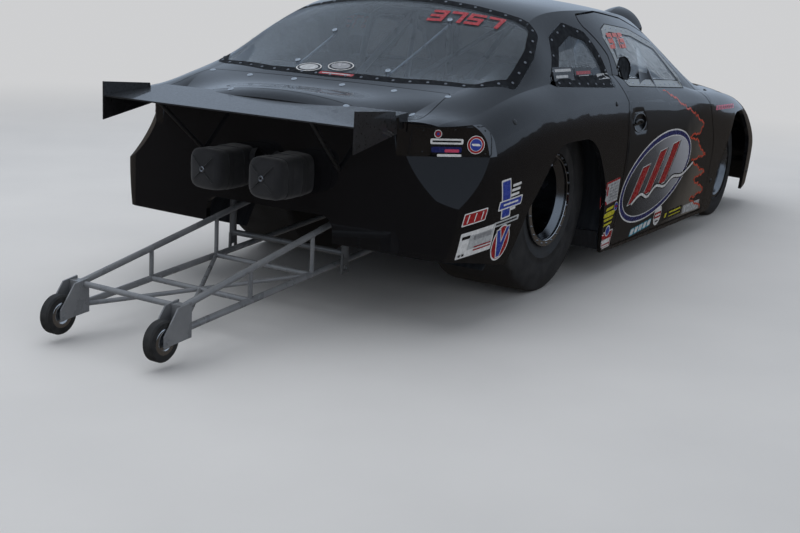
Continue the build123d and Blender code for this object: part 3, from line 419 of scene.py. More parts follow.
def inset(points, distance):
    """A polygon moved inwards by a distance, edge by edge."""
    count = len(points)
    area = sum(points[i][0] * points[(i + 1) % count][1] - points[(i + 1) % count][0] * points[i][1]
               for i in range(count))
    turn_side = 1 if area > 0 else -1
    lines = []
    for i in range(count):
        a, b = Vector(points[i]), Vector(points[(i + 1) % count])
        along = (b - a).normalized()
        inward = Vector((-along.y, along.x)) * turn_side * distance
        lines.append((a + inward, along))
    moved = []
    for i in range(count):
        (p, d), (q, e) = lines[i - 1], lines[i]
        across = d.x * e.y - d.y * e.x
        if abs(across) < 1e-6:
            moved.append(tuple(q))
            continue
        share = ((q.x - p.x) * e.y - (q.y - p.y) * e.x) / across
        moved.append(tuple(p + d * share))
    return moved


def rounded(points, radius, arc=6, runs=None, pitch=0.03):
    """A polygon with round corners, as many points; runs gives the points on each edge."""
    count = len(points)
    outline = []
    if runs is None:
        runs = [max(1, round((Vector(points[(i + 1) % count]) - Vector(points[i])).length / pitch))
                for i in range(count)]
    cuts = []
    for i in range(count):
        here = Vector(points[i])
        back = (Vector(points[i - 1]) - here).normalized()
        ahead = (Vector(points[(i + 1) % count]) - here).normalized()
        half = max(back.angle(ahead) / 2, 0.02)
        reach = min(radius / math.tan(half) + 0.0001, 0.45 * (Vector(points[i - 1]) - here).length,
                    0.45 * (Vector(points[(i + 1) % count]) - here).length)
        cuts.append((here, here + back * reach, here + ahead * reach))
    for i in range(count):
        here, start, end = cuts[i]
        for step in range(arc + 1):
            t = step / arc
            outline.append((1 - t) ** 2 * start + 2 * t * (1 - t) * here + t * t * end)
        following = cuts[(i + 1) % count][1]
        for step in range(1, runs[i]):
            outline.append(end.lerp(following, step / runs[i]))
    return outline, runs


def band(name, points, radius, near, far, cast, lift, material, body="car_body", rows=3):
    """A strip laid on a surface between two insets of an outline."""
    outer, runs = rounded(inset(points, near), max(radius - near, 0.004))
    inner, _ = rounded(inset(points, far), max(radius - far, 0.004), runs=runs)
    laid = [lay(cast, a.lerp(b, row / rows), lift) for row in range(rows + 1) for a, b in zip(outer, inner)]
    return place_mesh(name, laid, wall_faces(rows + 1, len(outer)), material, body)


def patch(points, cast, lift, rings=4):
    """Points and faces of a filled outline laid on a surface."""
    count = len(points)
    middle = sum((Vector(p) for p in points), Vector((0, 0))) / count
    laid = [lay(cast, Vector(p).lerp(middle, ring / rings), lift) for ring in range(rings) for p in points]
    laid.append(lay(cast, middle, lift))
    last = (rings - 1) * count
    fan = [(last + i, last + (i + 1) % count, len(laid) - 1) for i in range(count)]
    return laid, wall_faces(rings, count) + fan


def ellipse(u, v, half_u, half_v, tilt=0.0, count=48, start=0.0, end=360.0):
    """Points of an ellipse, or a part of one."""
    c, s = math.cos(math.radians(tilt)), math.sin(math.radians(tilt))
    whole = end - start == 360
    points = []
    for step in range(count if whole else count + 1):
        angle = math.radians(start + (end - start) * step / count)
        a, b = half_u * math.cos(angle), half_v * math.sin(angle)
        points.append((u + a * c - b * s, v + a * s + b * c))
    return points


def slant(u, v, width, height, lean=0.0, rise=0.0, pitch=0.03, radius=0.006):
    """A four-sided shape about a centre, its top moved along by lean and its front raised by rise."""
    corners = [(u - width / 2 - lean / 2, v - height / 2 - rise / 2),
               (u + width / 2 - lean / 2, v - height / 2 + rise / 2),
               (u + width / 2 + lean / 2, v + height / 2 + rise / 2),
               (u - width / 2 + lean / 2, v + height / 2 - rise / 2)]
    outline, _ = rounded(corners, radius, 3, pitch=pitch)
    return [tuple(p) for p in outline]


LAYER_STEP = 0.0005


def sticker(name, layers, cast, body="car_body", lift=0.0008):
    """A film cut-out of several inks, each layer a hair above the one before."""
    points, faces, owners, inks = [], [], [], []
    for level, (outline, ink) in enumerate(layers):
        laid, made = patch(outline, cast, lift + LAYER_STEP * level)
        faces += [tuple(index + len(points) for index in face) for face in made]
        points += laid
        if ink not in inks:
            inks.append(ink)
        owners += [inks.index(ink)] * len(made)
    piece = place_mesh(name, points, faces, inks[0], body)
    for ink in inks[1:]:
        piece.data.materials.append(ink)
    for polygon, owner in zip(piece.data.polygons, owners):
        polygon.material_index = owner
    return piece


def heads(name, places, radius, height, material, body="car_body", slot=False, sides=12):
    """Fastener heads standing on a surface: low domes with a socket or a slot."""
    points, faces = [], []
    for point, normal in places:
        first = normal.cross(Vector((0.31, 0.17, 0.93))).normalized()
        second = normal.cross(first)
        rings = [(radius, -0.002), (radius, height * 0.35), (radius * 0.8, height * 0.85),
                 (radius * 0.42, height), (radius * 0.36, height * (0.82 if slot else 0.3))]
        start = len(points)
        for ring_radius, rise in rings:
            points += [point + normal * rise + spoke for spoke in circle(first, second, ring_radius, sides)]
        faces += wall_faces(len(rings), sides, start=start)
        last = start + (len(rings) - 1) * sides
        faces.append(tuple(last + i for i in range(sides)))
        if slot:
            base = len(points)
            for du, dv in ((-1, -0.14), (1, -0.14), (1, 0.14), (-1, 0.14)):
                for rise in (height * 0.9, height * 1.12):
                    points.append(point + normal * rise + first * du * radius * 0.62 + second * dv * radius)
            for face in ((0, 2, 3, 1), (2, 4, 5, 3), (4, 6, 7, 5), (6, 0, 1, 7), (1, 3, 5, 7)):
                faces.append(tuple(base + index for index in face))
    return place_mesh(name, points, faces, material, body, smooth=False)


def along_outline(points, distance, pitch, radius=0.03):
    """Evenly spaced places on an inset of an outline."""
    dense, _ = rounded(inset(points, distance), radius, 6, pitch=0.01)
    lengths = [0.0]
    for a, b in zip(dense, dense[1:] + dense[:1]):
        lengths.append(lengths[-1] + (b - a).length)
    count = round(lengths[-1] / pitch)
    found = []
    index = 0
    for step in range(count):
        goal = lengths[-1] * step / count
        while lengths[index + 1] < goal:
            index += 1
        share = (goal - lengths[index]) / max(lengths[index + 1] - lengths[index], 1e-9)
        found.append(dense[index].lerp(dense[(index + 1) % len(dense)], share))
    return found


def within(point, outline):
    """Whether a flat point lies inside an outline."""
    inside = False
    for (x1, y1), (x2, y2) in zip(outline, outline[1:] + outline[:1]):
        if (y1 > point[1]) != (y2 > point[1]) and point[0] < (x2 - x1) * (point[1] - y1) / (y2 - y1) + x1:
            inside = not inside
    return inside


def film(name, outline, cast, material, body="car_body", lift=0.0006, pitch=0.025):
    """A film of any outline laid on a curved surface."""
    outline = [tuple(p) for p in outline]
    flat = [Vector(p) for p in outline]
    low = [min(p[k] for p in outline) for k in (0, 1)]
    high = [max(p[k] for p in outline) for k in (0, 1)]
    for i in range(int((high[0] - low[0]) / pitch) + 1):
        for j in range(int((high[1] - low[1]) / pitch) + 1):
            spot = (low[0] + (i + 0.5) * pitch, low[1] + (j + 0.5) * pitch)
            if within(spot, outline):
                flat.append(Vector(spot))
    made = delaunay_2d_cdt(flat, [], [list(range(len(outline)))], 1, 1e-6)
    laid = [lay(cast, spot, lift) for spot in made[0]]
    return place_mesh(name, laid, [tuple(face) for face in made[2]], material, body)


def ribbon(name, line, width, cast, material, body="car_body", lift=0.0012, closed=False):
    """A strip of even width along a line laid on a surface, tapering at open ends."""
    line = [Vector(p) for p in line]
    count = len(line)
    laid, faces = [], []
    for i, here in enumerate(line):
        along = heading(line, i, closed)
        half = width / 2 * (0.35 if not closed and i in (0, count - 1) else 1)
        for k in (-1, 1):
            laid.append(lay(cast, here + Vector((-along.y, along.x)) * half * k, lift))
    for i in range(count if closed else count - 1):
        j = (i + 1) % count
        faces.append((2 * i, 2 * j, 2 * j + 1, 2 * i + 1))
    return place_mesh(name, laid, faces, material, body)


def turned(name, profile, centre, material, body="car_body", axis=Vector((0, 1, 0)), segments=96, sharp=40):
    """A ring or disc turned about an axis, from (radius, place along the axis) pairs."""
    first = axis.cross(Vector((0.2, 0.1, 1))).normalized()
    second = axis.cross(first)
    closed = profile[0] == profile[-1]
    rows = profile[:-1] if closed else profile
    points = []
    for radius, along in rows:
        points += [centre + axis * along + spoke for spoke in circle(first, second, radius, segments)]
    piece = place_mesh(name, points, wall_faces(len(rows), segments, closed), material, body)
    tidy(piece, sharp)
    return piece


def tidy(piece, sharp=40):
    """Merges doubled points, turns faces outwards and keeps edges over an angle crisp."""
    work = bmesh.new()
    work.from_mesh(piece.data)
    bmesh.ops.remove_doubles(work, verts=work.verts, dist=1e-6)
    bmesh.ops.recalc_face_normals(work, faces=work.faces)
    work.to_mesh(piece.data)
    work.free()
    piece.data.set_sharp_from_angle(angle=math.radians(sharp))


def smooth_line(points, steps=8):
    """A smooth curve through the points."""
    points = [Vector(p) for p in points]
    line = []
    for i in range(len(points) - 1):
        a = points[max(i - 1, 0)]
        b, c = points[i], points[i + 1]
        d = points[min(i + 2, len(points) - 1)]
        for step in range(steps):
            t = step / steps
            line.append(0.5 * (2 * b + (c - a) * t + (2 * a - 5 * b + 4 * c - d) * t ** 2
                               + (3 * b - a - 3 * c + d) * t ** 3))
    line.append(points[-1])
    return line


def rod(name, line, radius, material, body="car_body", sides=10, closed=False, flat=1.0):
    """A round or flattened rod along a line of points."""
    line = [Vector(p) for p in line]
    count = len(line)
    points = []
    up = None
    for i, here in enumerate(line):
        along = heading(line, i, closed)
        if up is None:
            up = along.orthogonal().normalized()
        up = (up - along * up.dot(along)).normalized()
        out = along.cross(up)
        for step in range(sides):
            angle = 2 * math.pi * step / sides
            points.append(here + up * radius * math.cos(angle) + out * radius * flat * math.sin(angle))
    faces = wall_faces(count, sides, closed)
    if not closed:
        faces.append(tuple(range(sides)))
        faces.append(tuple(range((count - 1) * sides, count * sides)))
    piece = place_mesh(name, points, faces, material, body)
    tidy(piece)
    return piece


def metres(points):
    """An outline of the part's source, from millimetres ahead of the rear axle to metres."""
    return [(REAR_X + x / 1000, v / 1000) for x, v in points]


def with_mirror(points):
    """An outline with its mirror image on the other side of the middle."""
    return points + [(x, -y) for x, y in reversed(points) if y]


# Panes: outlines repeated from the part's source
DOOR_GLASS = metres([(712, 925), (1740, 872), (1385, 1128), (1000, 1202), (640, 1226), (505, 1190)])
QUARTER_GLASS = metres([(-140, 955), (578, 925), (350, 1190), (215, 1228), (40, 1165)])
REAR_GLASS = with_mirror(metres([(-680, 0), (-664, 360), (-590, 690), (-440, 790), (-190, 752), (-30, 690),
                                 (5, 580), (5, 0)]))
WINDSHIELD = with_mirror(metres([(1500, 0), (1480, 350), (1440, 578), (1843, 752), (1990, 600), (2085, 300),
                                 (2105, 0)]))
rear_cast = top_caster(skin_tree("rear_window"))
front_cast = top_caster(skin_tree("windshield"))
band("rear_window_border", REAR_GLASS, 0.06, 0.002, 0.045, rear_cast, 0.0006, BORDER_INK)
band("windshield_border", WINDSHIELD, 0.05, 0.002, 0.045, front_cast, 0.0006, BORDER_INK)
heads("rear_window_screws", [rear_cast(p.x, p.y) for p in along_outline(REAR_GLASS, 0.02, 0.078)],
      0.0065, 0.0035, STEEL)
heads("windshield_screws", [front_cast(p.x, p.y) for p in along_outline(WINDSHIELD, 0.02, 0.1)],
      0.0065, 0.004, STEEL)
for name, side in SIDES.items():
    quarter_cast = side_caster(skin_tree("quarter_windows"), side)
    door_cast = side_caster(skin_tree(f"door_window_{name}"), side)
    band(f"quarter_border_{name}", QUARTER_GLASS, 0.025, 0.002, 0.055, quarter_cast, 0.0006, BORDER_INK)
    heads(f"quarter_screws_{name}",
          [quarter_cast(p.x, p.y) for p in along_outline(QUARTER_GLASS, 0.016, 0.09)], 0.006, 0.0035, STEEL)
    band(f"door_border_{name}", DOOR_GLASS, 0.04, 0.004, 0.04, door_cast, 0.0006, HAZE_INK, f"door_{name}")
    band(f"door_border_edge_{name}", DOOR_GLASS, 0.04, 0.001, 0.0045, door_cast, 0.0009, BORDER_INK,
         f"door_{name}", 1)
    band(f"door_border_line_{name}", DOOR_GLASS, 0.04, 0.038, 0.0415, door_cast, 0.0009, BORDER_INK,
         f"door_{name}", 1)
    heads(f"door_window_screws_{name}",
          [door_cast(p.x, p.y) for p in along_outline(DOOR_GLASS, 0.018, 0.085)],
          0.0065, 0.0035, POLISHED, f"door_{name}")

# Torn silver paint on the doors: the tear's corners in x and z, then finer jags between them
TEAR = [(0.36, 0.93), (0.47, 0.885), (0.60, 0.845), (0.69, 0.804), (0.86, 0.751), (1.031, 0.695),
        (1.073, 0.675), (1.011, 0.622), (0.831, 0.612), (0.987, 0.583), (1.077, 0.517), (1.178, 0.478),
        (0.917, 0.473), (1.015, 0.434), (1.226, 0.37), (1.035, 0.342), (1.199, 0.294), (1.264, 0.256),
        (1.038, 0.228), (1.25, 0.169), (1.285, 0.14)]
tear_line = []
for a, b in zip(TEAR, TEAR[1:]):
    a, b = Vector(a), Vector(b)
    count = max(2, round((b - a).length / 0.022))
    sideways = Vector((a.y - b.y, b.x - a.x)).normalized()
    for step in range(count):
        jag = 0 if step == 0 else random.uniform(-0.011, 0.011)
        tear_line.append(a.lerp(b, step / count) + sideways * jag)
tear_line.append(Vector(TEAR[-1]))
DOOR_BACK = -0.145
SILVER_OUTLINE = [tuple(p) for p in tear_line] + [(DOOR_BACK, 0.14), (DOOR_BACK, 0.45), (-0.118, 0.86),
                                                 (-0.118, 0.905), (0.1, 0.912)]
# Big oval on the doors: centre, half length, half height and tilt
OVAL = (0.365, 0.445, 0.508, 0.209, 9.35)


def bar_shape(foot, top, width, grow=0.0, cap=0.0):
    """A leaning bar's outline from its foot to its top, with slanted ends, grown by a margin."""
    foot, top = Vector(foot), Vector(top)
    along = (top - foot).normalized()
    half = Vector((width / 2 + grow, cap))
    foot, top = foot - along * grow, top + along * grow
    return [tuple(foot - half), tuple(foot + half), tuple(top + half), tuple(top - half)]


def dense(outline, pitch=0.03):
    """The outline with more points on its edges."""
    points = []
    for a, b in zip(outline, outline[1:] + outline[:1]):
        a, b = Vector(a), Vector(b)
        count = max(1, round((b - a).length / pitch))
        points += [tuple(a.lerp(b, step / count)) for step in range(count)]
    return points


def card(name, u, v, width, height, cast, body, rise=0.0, marks=(), ground=None, lean=0.0):
    """A small printed card: a ground with marks given as (u, v, width, height, ink) in its own size."""
    layers = [(slant(u, v, width, height, lean, rise), ground or WHITE_INK)]
    for mark_u, mark_v, mark_width, mark_height, ink in marks:
        centre_u = u + (mark_u - 0.5) * width
        centre_v = v + (mark_v - 0.5) * height + (mark_u - 0.5) * rise
        layers.append((slant(centre_u, centre_v, mark_width * width, mark_height * height,
                             lean * mark_height, rise * mark_width, radius=0.002), ink))
    return sticker(name, layers, cast, body)


# Strokes of a plain block number: top, upper right, lower right, foot, lower left, upper left, middle
STROKES = [((0, 2), (1, 2)), ((1, 2), (1, 1)), ((1, 1), (1, 0)), ((1, 0), (0, 0)), ((0, 0), (0, 1)),
           ((0, 1), (0, 2)), ((0, 1), (1, 1))]
DIGITS = {"3": (0, 1, 2, 3, 6), "5": (0, 2, 3, 5, 6), "7": (0, 1, 2)}


def block_number(name, digits, start, pitch, rise, cast, ink, body="car_body", thick=0.36):
    """Plain block digits along a surface: pitch is one digit's step, rise is half its height."""
    start, pitch, rise = Vector(start), Vector(pitch), Vector(rise)
    across = pitch * 0.62
    for place, digit in enumerate(digits):
        foot = start + pitch * place
        for stroke in DIGITS[digit]:
            ends = [foot + across * a + rise * b for a, b in STROKES[stroke]]
            along = (ends[1] - ends[0]).normalized()
            sideways = Vector((-along.y, along.x)) * across.length * thick / 2
            ends = [ends[0] - along * sideways.length, ends[1] + along * sideways.length]
            outline = [ends[0] - sideways, ends[1] - sideways, ends[1] + sideways, ends[0] + sideways]
            film(f"{name}_{place}_{stroke}", dense([tuple(p) for p in outline]), cast, ink, body, 0.0012)


# Yellow strokes ahead of the rear wheel: centre, width and height
YELLOW_STROKES = [(-0.262, 0.342, 0.09, 0.016), (-0.267, 0.312, 0.15, 0.026), (-0.262, 0.286, 0.12, 0.014),
                  (-0.258, 0.262, 0.1, 0.012)]
# Bars in the oval, from foot to top, and the wave across them
DOOR_BARS = [((0.03, 0.335), (0.165, 0.51)), ((0.235, 0.36), (0.40, 0.575)), ((0.445, 0.39), (0.60, 0.60))]
SWOOSH = [(0.02, 0.325), (0.14, 0.365), (0.25, 0.34), (0.36, 0.385), (0.50, 0.37), (0.62, 0.41),
          (0.78, 0.405), (0.95, 0.46)]
for name, side in SIDES.items():
    door = f"door_{name}"
    door_cast = side_caster(skin_tree(door), side)
    shell_cast = side_caster(skin_tree("body_shell"), side)
    clip_cast = side_caster(skin_tree("front_clip"), side)
    film(f"silver_film_{name}", SILVER_OUTLINE, door_cast, SILVER_PAINT, door, 0.0004)
    ribbon(f"tear_edge_{name}", tear_line[6:], 0.011, door_cast, TEAR_INK, door, 0.0009)
    ribbon(f"tear_edge_top_{name}", tear_line[:7], 0.006, door_cast, TEAR_INK, door, 0.0009)
    ring = [(0.012, WHITE_INK, 0.0012), (0.004, NAVY_INK, 0.0016), (-0.021, WHITE_INK, 0.002),
            (-0.026, OVAL_FILL, 0.0024)]
    for level, (grow, ink, lift) in enumerate(ring):
        outline = ellipse(OVAL[0], OVAL[1], OVAL[2] + grow * 1.2, OVAL[3] + grow, OVAL[4], 96)
        film(f"door_oval_{name}_{level}", outline, door_cast, ink, door, lift, 0.035)
    for count, (foot, top) in enumerate(DOOR_BARS):
        for level, (grow, shift, ink) in enumerate(((0.013, 0.006, BLACK_INK), (0.009, 0.0, WHITE_INK),
                                                    (0.003, 0.0, BLACK_INK), (0.0, 0.0, RED_INK))):
            outline = bar_shape((foot[0] + shift, foot[1] - shift), (top[0] + shift, top[1] - shift), 0.1,
                                grow, 0.006)
            film(f"door_bar_{name}_{count}_{level}", dense(outline), door_cast, ink, door,
                 0.0028 + 0.0004 * level)
    wave = smooth_line(SWOOSH, 10)
    ribbon(f"door_wave_under_{name}", wave, 0.026, door_cast, BLACK_INK, door, 0.0044)
    ribbon(f"door_wave_{name}", wave, 0.014, door_cast, WHITE_INK, door, 0.0048)
    # Cards and badges ahead of the rear wheel and along the sill
    lines = [(0.6, 0.82 - 0.13 * k, 0.62, 0.06, GREY_INK) for k in range(6)]
    card(f"ruled_card_{name}", -0.275, 0.428, 0.17, 0.118, shell_cast, "car_body", 0.012,
         [(0.5, 0.5, 1.0, 1.0, RED_INK), (0.53, 0.47, 0.93, 0.9, PALE_INK), (0.14, 0.6, 0.1, 0.4, RED_INK)]
         + lines)
    for count, sizes in enumerate(YELLOW_STROKES):
        sticker(f"yellow_stroke_{name}_{count}", [(slant(*sizes, 0.012, 0.008), YELLOW_INK)], shell_cast)
    sticker(f"small_dot_{name}", [(ellipse(-0.185, 0.343, 0.022, 0.022), WHITE_INK),
                                  (ellipse(-0.185, 0.343, 0.019, 0.019), BLUE_INK),
                                  (slant(-0.185, 0.343, 0.028, 0.01), RED_INK)], shell_cast)
    sticker(f"round_top_badge_{name}",
            [(slant(-0.25, 0.178, 0.155, 0.09, 0.01, 0.006), WHITE_INK),
             (slant(-0.25, 0.178, 0.143, 0.078, 0.01, 0.006), RED_INK),
             (slant(-0.25, 0.17, 0.12, 0.024, 0.004, 0.006), WHITE_INK),
             (slant(-0.25, 0.147, 0.11, 0.008, 0.0, 0.004), WHITE_INK),
             (ellipse(-0.245, 0.225, 0.03, 0.028), WHITE_INK),
             (ellipse(-0.245, 0.225, 0.024, 0.022), BLUE_INK)],
            shell_cast)
    for count in range(5):
        middle = 0.13 + 0.062 * count
        sticker(f"sill_block_{name}_{count}",
                [(slant(middle, 0.162 + 0.004 * count, 0.056, 0.04, 0.012, 0.004), CYAN_INK),
                 (slant(middle, 0.163 + 0.004 * count, 0.044, 0.03, 0.01, 0.004), WHITE_INK)],
                door_cast, door)
    sticker(f"sill_oval_{name}", [(ellipse(0.50, 0.205, 0.062, 0.062), BLACK_INK),
                                  (ellipse(0.50, 0.205, 0.059, 0.059), WHITE_INK),
                                  (slant(0.50, 0.205, 0.104, 0.034, 0.0, 0.002), RED_INK),
                                  (slant(0.50, 0.205, 0.08, 0.01, 0.0, 0.002), WHITE_INK),
                                  (slant(0.50, 0.17, 0.05, 0.007), BLACK_INK)], door_cast, door)
    sticker(f"sill_strip_{name}", [(slant(0.765, 0.182, 0.33, 0.052, 0.0, 0.006), BLACK_INK),
                                   (slant(0.645, 0.182, 0.03, 0.026, 0.012, 0.0), YELLOW_INK),
                                   (slant(0.80, 0.194, 0.2, 0.01, 0.0, 0.004), YELLOW_INK),
                                   (slant(0.80, 0.172, 0.2, 0.006, 0.0, 0.004), YELLOW_INK)], door_cast,
            door)
    sticker(f"sill_panel_{name}", [(slant(1.10, 0.172, 0.30, 0.058, 0.0, 0.004), PALE_INK)], door_cast,
            door)
    # Rear quarter
    sticker(f"quarter_motif_{name}",
            [(slant(-1.432, 0.532, 0.075, 0.165, -0.03, 0.006), WHITE_INK),
             (slant(-1.432, 0.532, 0.06, 0.15, -0.027, 0.006), BLUE_INK)], shell_cast)
    for count in range(6):
        sticker(f"quarter_bar_{name}_{count}",
                [(slant(-1.352 - 0.006 * count, 0.585 - 0.02 * count, 0.072, 0.011, 0.0, 0.005),
                  WHITE_INK)],
                shell_cast)
    sticker(f"quarter_band_{name}", [(slant(-1.395, 0.512, 0.19, 0.04, 0.008, 0.012), WHITE_INK),
                                     (slant(-1.395, 0.512, 0.176, 0.028, 0.006, 0.011), BLUE_INK),
                                     (slant(-1.395, 0.512, 0.12, 0.008, 0.0, 0.008), WHITE_INK)],
            shell_cast, lift=0.0026)
    sticker(f"quarter_line_{name}", [(slant(-1.40, 0.435, 0.20, 0.022, 0.004, 0.014), PALE_INK),
                                     (slant(-1.40, 0.435, 0.17, 0.007, 0.0, 0.012), BLACK_INK)], shell_cast)
    sticker(f"quarter_red_{name}", [(slant(-1.65, 0.482, 0.155, 0.052, 0.012, 0.012), WHITE_INK),
                                    (slant(-1.65, 0.482, 0.143, 0.042, 0.01, 0.011), RED_INK)]
            + [(slant(-1.695 + 0.045 * k, 0.479 + 0.0035 * k, 0.007, 0.034, 0.01, 0.0), WHITE_INK)
               for k in range(3)],
            shell_cast)
    squares = [(0.08 + 0.09 * k, 0.13, 0.055, 0.09, BLACK_INK) for k in range(2)]
    card(f"quarter_card_{name}", -1.605, 0.375, 0.235, 0.108, shell_cast, "car_body", 0.016,
         [(0.62, 0.55, 0.7, 0.55, PALE_INK), (0.16, 0.8, 0.22, 0.12, BLACK_INK),
          (0.7, 0.32, 0.5, 0.05, RED_INK), (0.7, 0.2, 0.5, 0.05, RED_INK), (0.65, 0.7, 0.5, 0.16, GREY_INK)]
         + squares)
    chevron = [(-1.462, 0.40), (-1.44, 0.404), (-1.415, 0.345), (-1.39, 0.41), (-1.368, 0.412),
               (-1.404, 0.285), (-1.426, 0.283)]
    sticker(f"quarter_badge_{name}", [(ellipse(-1.415, 0.345, 0.066, 0.078, -12), WHITE_INK),
                                      (ellipse(-1.415, 0.345, 0.059, 0.071, -12), RED_INK)], shell_cast)
    film(f"quarter_chevron_edge_{name}", [tuple(p) for p in inset(chevron, -0.005)], shell_cast, WHITE_INK,
         lift=0.0022)
    film(f"quarter_chevron_{name}", chevron, shell_cast, BLUE_INK, lift=0.0026)
    # Strip above the front arch, marks on the quarter window and the door window
    sticker(f"fender_strip_{name}", [(slant(1.54, 0.742, 0.44, 0.026, 0.02, -0.012), PINK_INK)]
            + [(slant(1.37 + 0.055 * k, 0.7455 - 0.0015 * k, 0.016, 0.014, 0.008, 0.0), BLACK_INK)
               for k in range(7)],
            clip_cast)
    quarter_cast = side_caster(skin_tree("quarter_windows"), side)
    pane_cast = side_caster(skin_tree(f"door_window_{name}"), side)
    card(f"window_card_{name}", -0.735, 1.005, 0.2, 0.06, quarter_cast, "car_body", 0.0,
         [(0.5, 0.75, 0.8, 0.2, PALE_INK), (0.4, 0.3, 0.6, 0.2, PALE_INK)], BLACK_INK)
    card(f"window_card_ahead_{name}", -0.53, 1.005, 0.18, 0.05, quarter_cast, "car_body", 0.0,
         [(0.5, 0.5, 0.85, 0.3, RED_INK), (0.5, 0.2, 0.6, 0.14, PALE_INK)], BLACK_INK)
    sticker(f"window_strip_{name}", [(slant(-0.305, 0.983, 0.16, 0.026), PALE_INK)], quarter_cast)
    block_number(f"window_number_{name}", "375", (-0.165 if side < 0 else 0.06, 1.118),
                 (-side * 0.085, 0.0), (0.0, 0.027), pane_cast, TEAR_INK, door)
    # Vent in the door window, with its rivets; its opening is filled with black film, painted shade
    # standing in for the dark hole
    vent = ellipse(-0.028, 1.012, 0.092, 0.054, 4, 48)
    # Black film across the vent's opening: painted shade for the dark hole
    film(f"window_vent_{name}", vent, pane_cast, BORDER_INK, door, 0.0012)
    rod(f"window_vent_lip_{name}", [pane_cast(u, v)[0] + pane_cast(u, v)[1] * 0.002 for u, v in vent],
        0.0035, BORDER_INK, door, 8, closed=True)
    heads(f"window_vent_rivets_{name}",
          [pane_cast(u, v) for u, v in ellipse(-0.028, 1.012, 0.104, 0.066, 4, 8)], 0.006, 0.0035, POLISHED,
          door)

# Fasteners, handle cups and lamp marks
DECK_TABS = [(-1.491, 0.605), (-1.507, 0.377), (-1.5, 0.138), (-1.509, -0.122), (-1.513, -0.385),
             (-1.513, -0.642), (-1.721, 0.627), (-1.80, 0.245), (-1.80, -0.343), (-1.697, -0.587)]
HOOD_TABS = [(x, sign * y) for sign in (1, -1) for x, y in
             ((1.42, 0.57), (1.75, 0.535), (2.08, 0.505), (2.4, 0.475), (2.585, 0.25))]
top_cast = top_caster(skin_tree("body_shell", "deck_lid"))
clip_top_cast = top_caster(skin_tree("front_clip", "hood"))
heads("deck_tabs", [top_cast(x, y) for x, y in DECK_TABS], 0.0135, 0.005, POLISHED, slot=True, sides=20)
heads("hood_tabs", [clip_top_cast(x, y) for x, y in HOOD_TABS], 0.012, 0.004, POLISHED, slot=True, sides=20)
LAMP_ALONG = Vector((-0.729, 0.684, 0))
for name, side in SIDES.items():
    door = f"door_{name}"
    shell_cast = side_caster(skin_tree("body_shell"), side)
    door_cast = side_caster(skin_tree(door), side)
    clip_cast = side_caster(skin_tree("front_clip"), side)
    heads(f"quarter_tab_{name}", [shell_cast(-1.36, 0.838)], 0.012, 0.004, BLACK_RIM, slot=True, sides=16)
    heads(f"dark_tab_{name}", [shell_cast(-0.287, 0.855)], 0.012, 0.004, BLACK_RIM, slot=True, sides=16)
    heads(f"clip_tab_{name}", [clip_cast(1.381, 0.842), clip_cast(1.40, 0.30), clip_cast(2.40, 0.25)],
          0.012, 0.004, BLACK_RIM, slot=True, sides=16)
    # The handle cup's lip and paddle
    rim_line = [door_cast(u, v) for u, v in ellipse(0.0185, 0.747, 0.088, 0.046, 0, 64)]
    rod(f"handle_lip_{name}", [point + normal * 0.0008 for point, normal in rim_line], 0.003, LAMP_FILM,
        door, 8, closed=True)
    paddle = [Vector((0.0185 + u, side * 0.9065, 0.747 + v)) for u, v in
              ((-0.052, 0.0), (-0.03, 0.009), (0.0, 0.012), (0.03, 0.009), (0.052, 0.0))]
    rod(f"handle_paddle_{name}", smooth_line(paddle, 5), 0.0065, BLACK_RIM, door, 10)
    # Lamp marks
    along = Vector((LAMP_ALONG.x, -side * LAMP_ALONG.y, 0))
    outward = Vector((-LAMP_ALONG.y, side * -LAMP_ALONG.x, 0))
    start = Vector((REAR_X - 0.797, side * 0.886, 0)) + outward
    lamp_cast = caster(skin_tree(f"tail_lamp_{name}"), start, -outward, along, Vector((0, 0, 1)))
    sticker(f"lamp_dot_{name}", [(ellipse(0.2296, 0.801, 0.016, 0.016), WHITE_INK),
                                 (ellipse(0.2296, 0.801, 0.013, 0.013), RED_INK),
                                 (ellipse(0.2296, 0.801, 0.006, 0.006), BLUE_INK)], lamp_cast)
    sticker(f"lamp_card_{name}", [(slant(0.192, 0.746, 0.13, 0.08, 0.0, 0.0), BLACK_INK),
                                  (slant(0.192, 0.772, 0.135, 0.022), WHITE_INK),
                                  (slant(0.192, 0.772, 0.118, 0.007), BLACK_INK),
                                  (slant(0.192, 0.74, 0.124, 0.022), NAVY_INK),
                                  (slant(0.17, 0.736, 0.06, 0.012), PINK_INK),
                                  (slant(0.18, 0.718, 0.1, 0.01), WHITE_INK)], lamp_cast)
    sticker(f"lamp_roundel_{name}", [(ellipse(0.0717, 0.761, 0.036, 0.036), WHITE_INK),
                                     (ellipse(0.0717, 0.761, 0.0335, 0.0335), RED_INK),
                                     (ellipse(0.0717, 0.761, 0.0255, 0.0255), WHITE_INK),
                                     (ellipse(0.0717, 0.761, 0.0235, 0.0235), BLUE_INK),
                                     (slant(0.0717, 0.761, 0.034, 0.009, 0.008), WHITE_INK)], lamp_cast)
    lamp_edge, _ = rounded([(0.002, 0.716), (0.0, 0.818), (0.03, 0.832), (0.335, 0.824), (0.345, 0.72),
                            (0.33, 0.714)],
                           0.012)
    ribbon(f"lamp_outline_{name}", lamp_edge, 0.005, lamp_cast, BLACK_INK, closed=True)
    heads(f"lamp_screws_{name}", [lamp_cast(u, v) for u, v in ((0.03, 0.815), (0.16, 0.818), (0.29, 0.812),
                                                              (0.29, 0.73), (0.03, 0.725))],
          0.004, 0.002, BLACK_RIM)

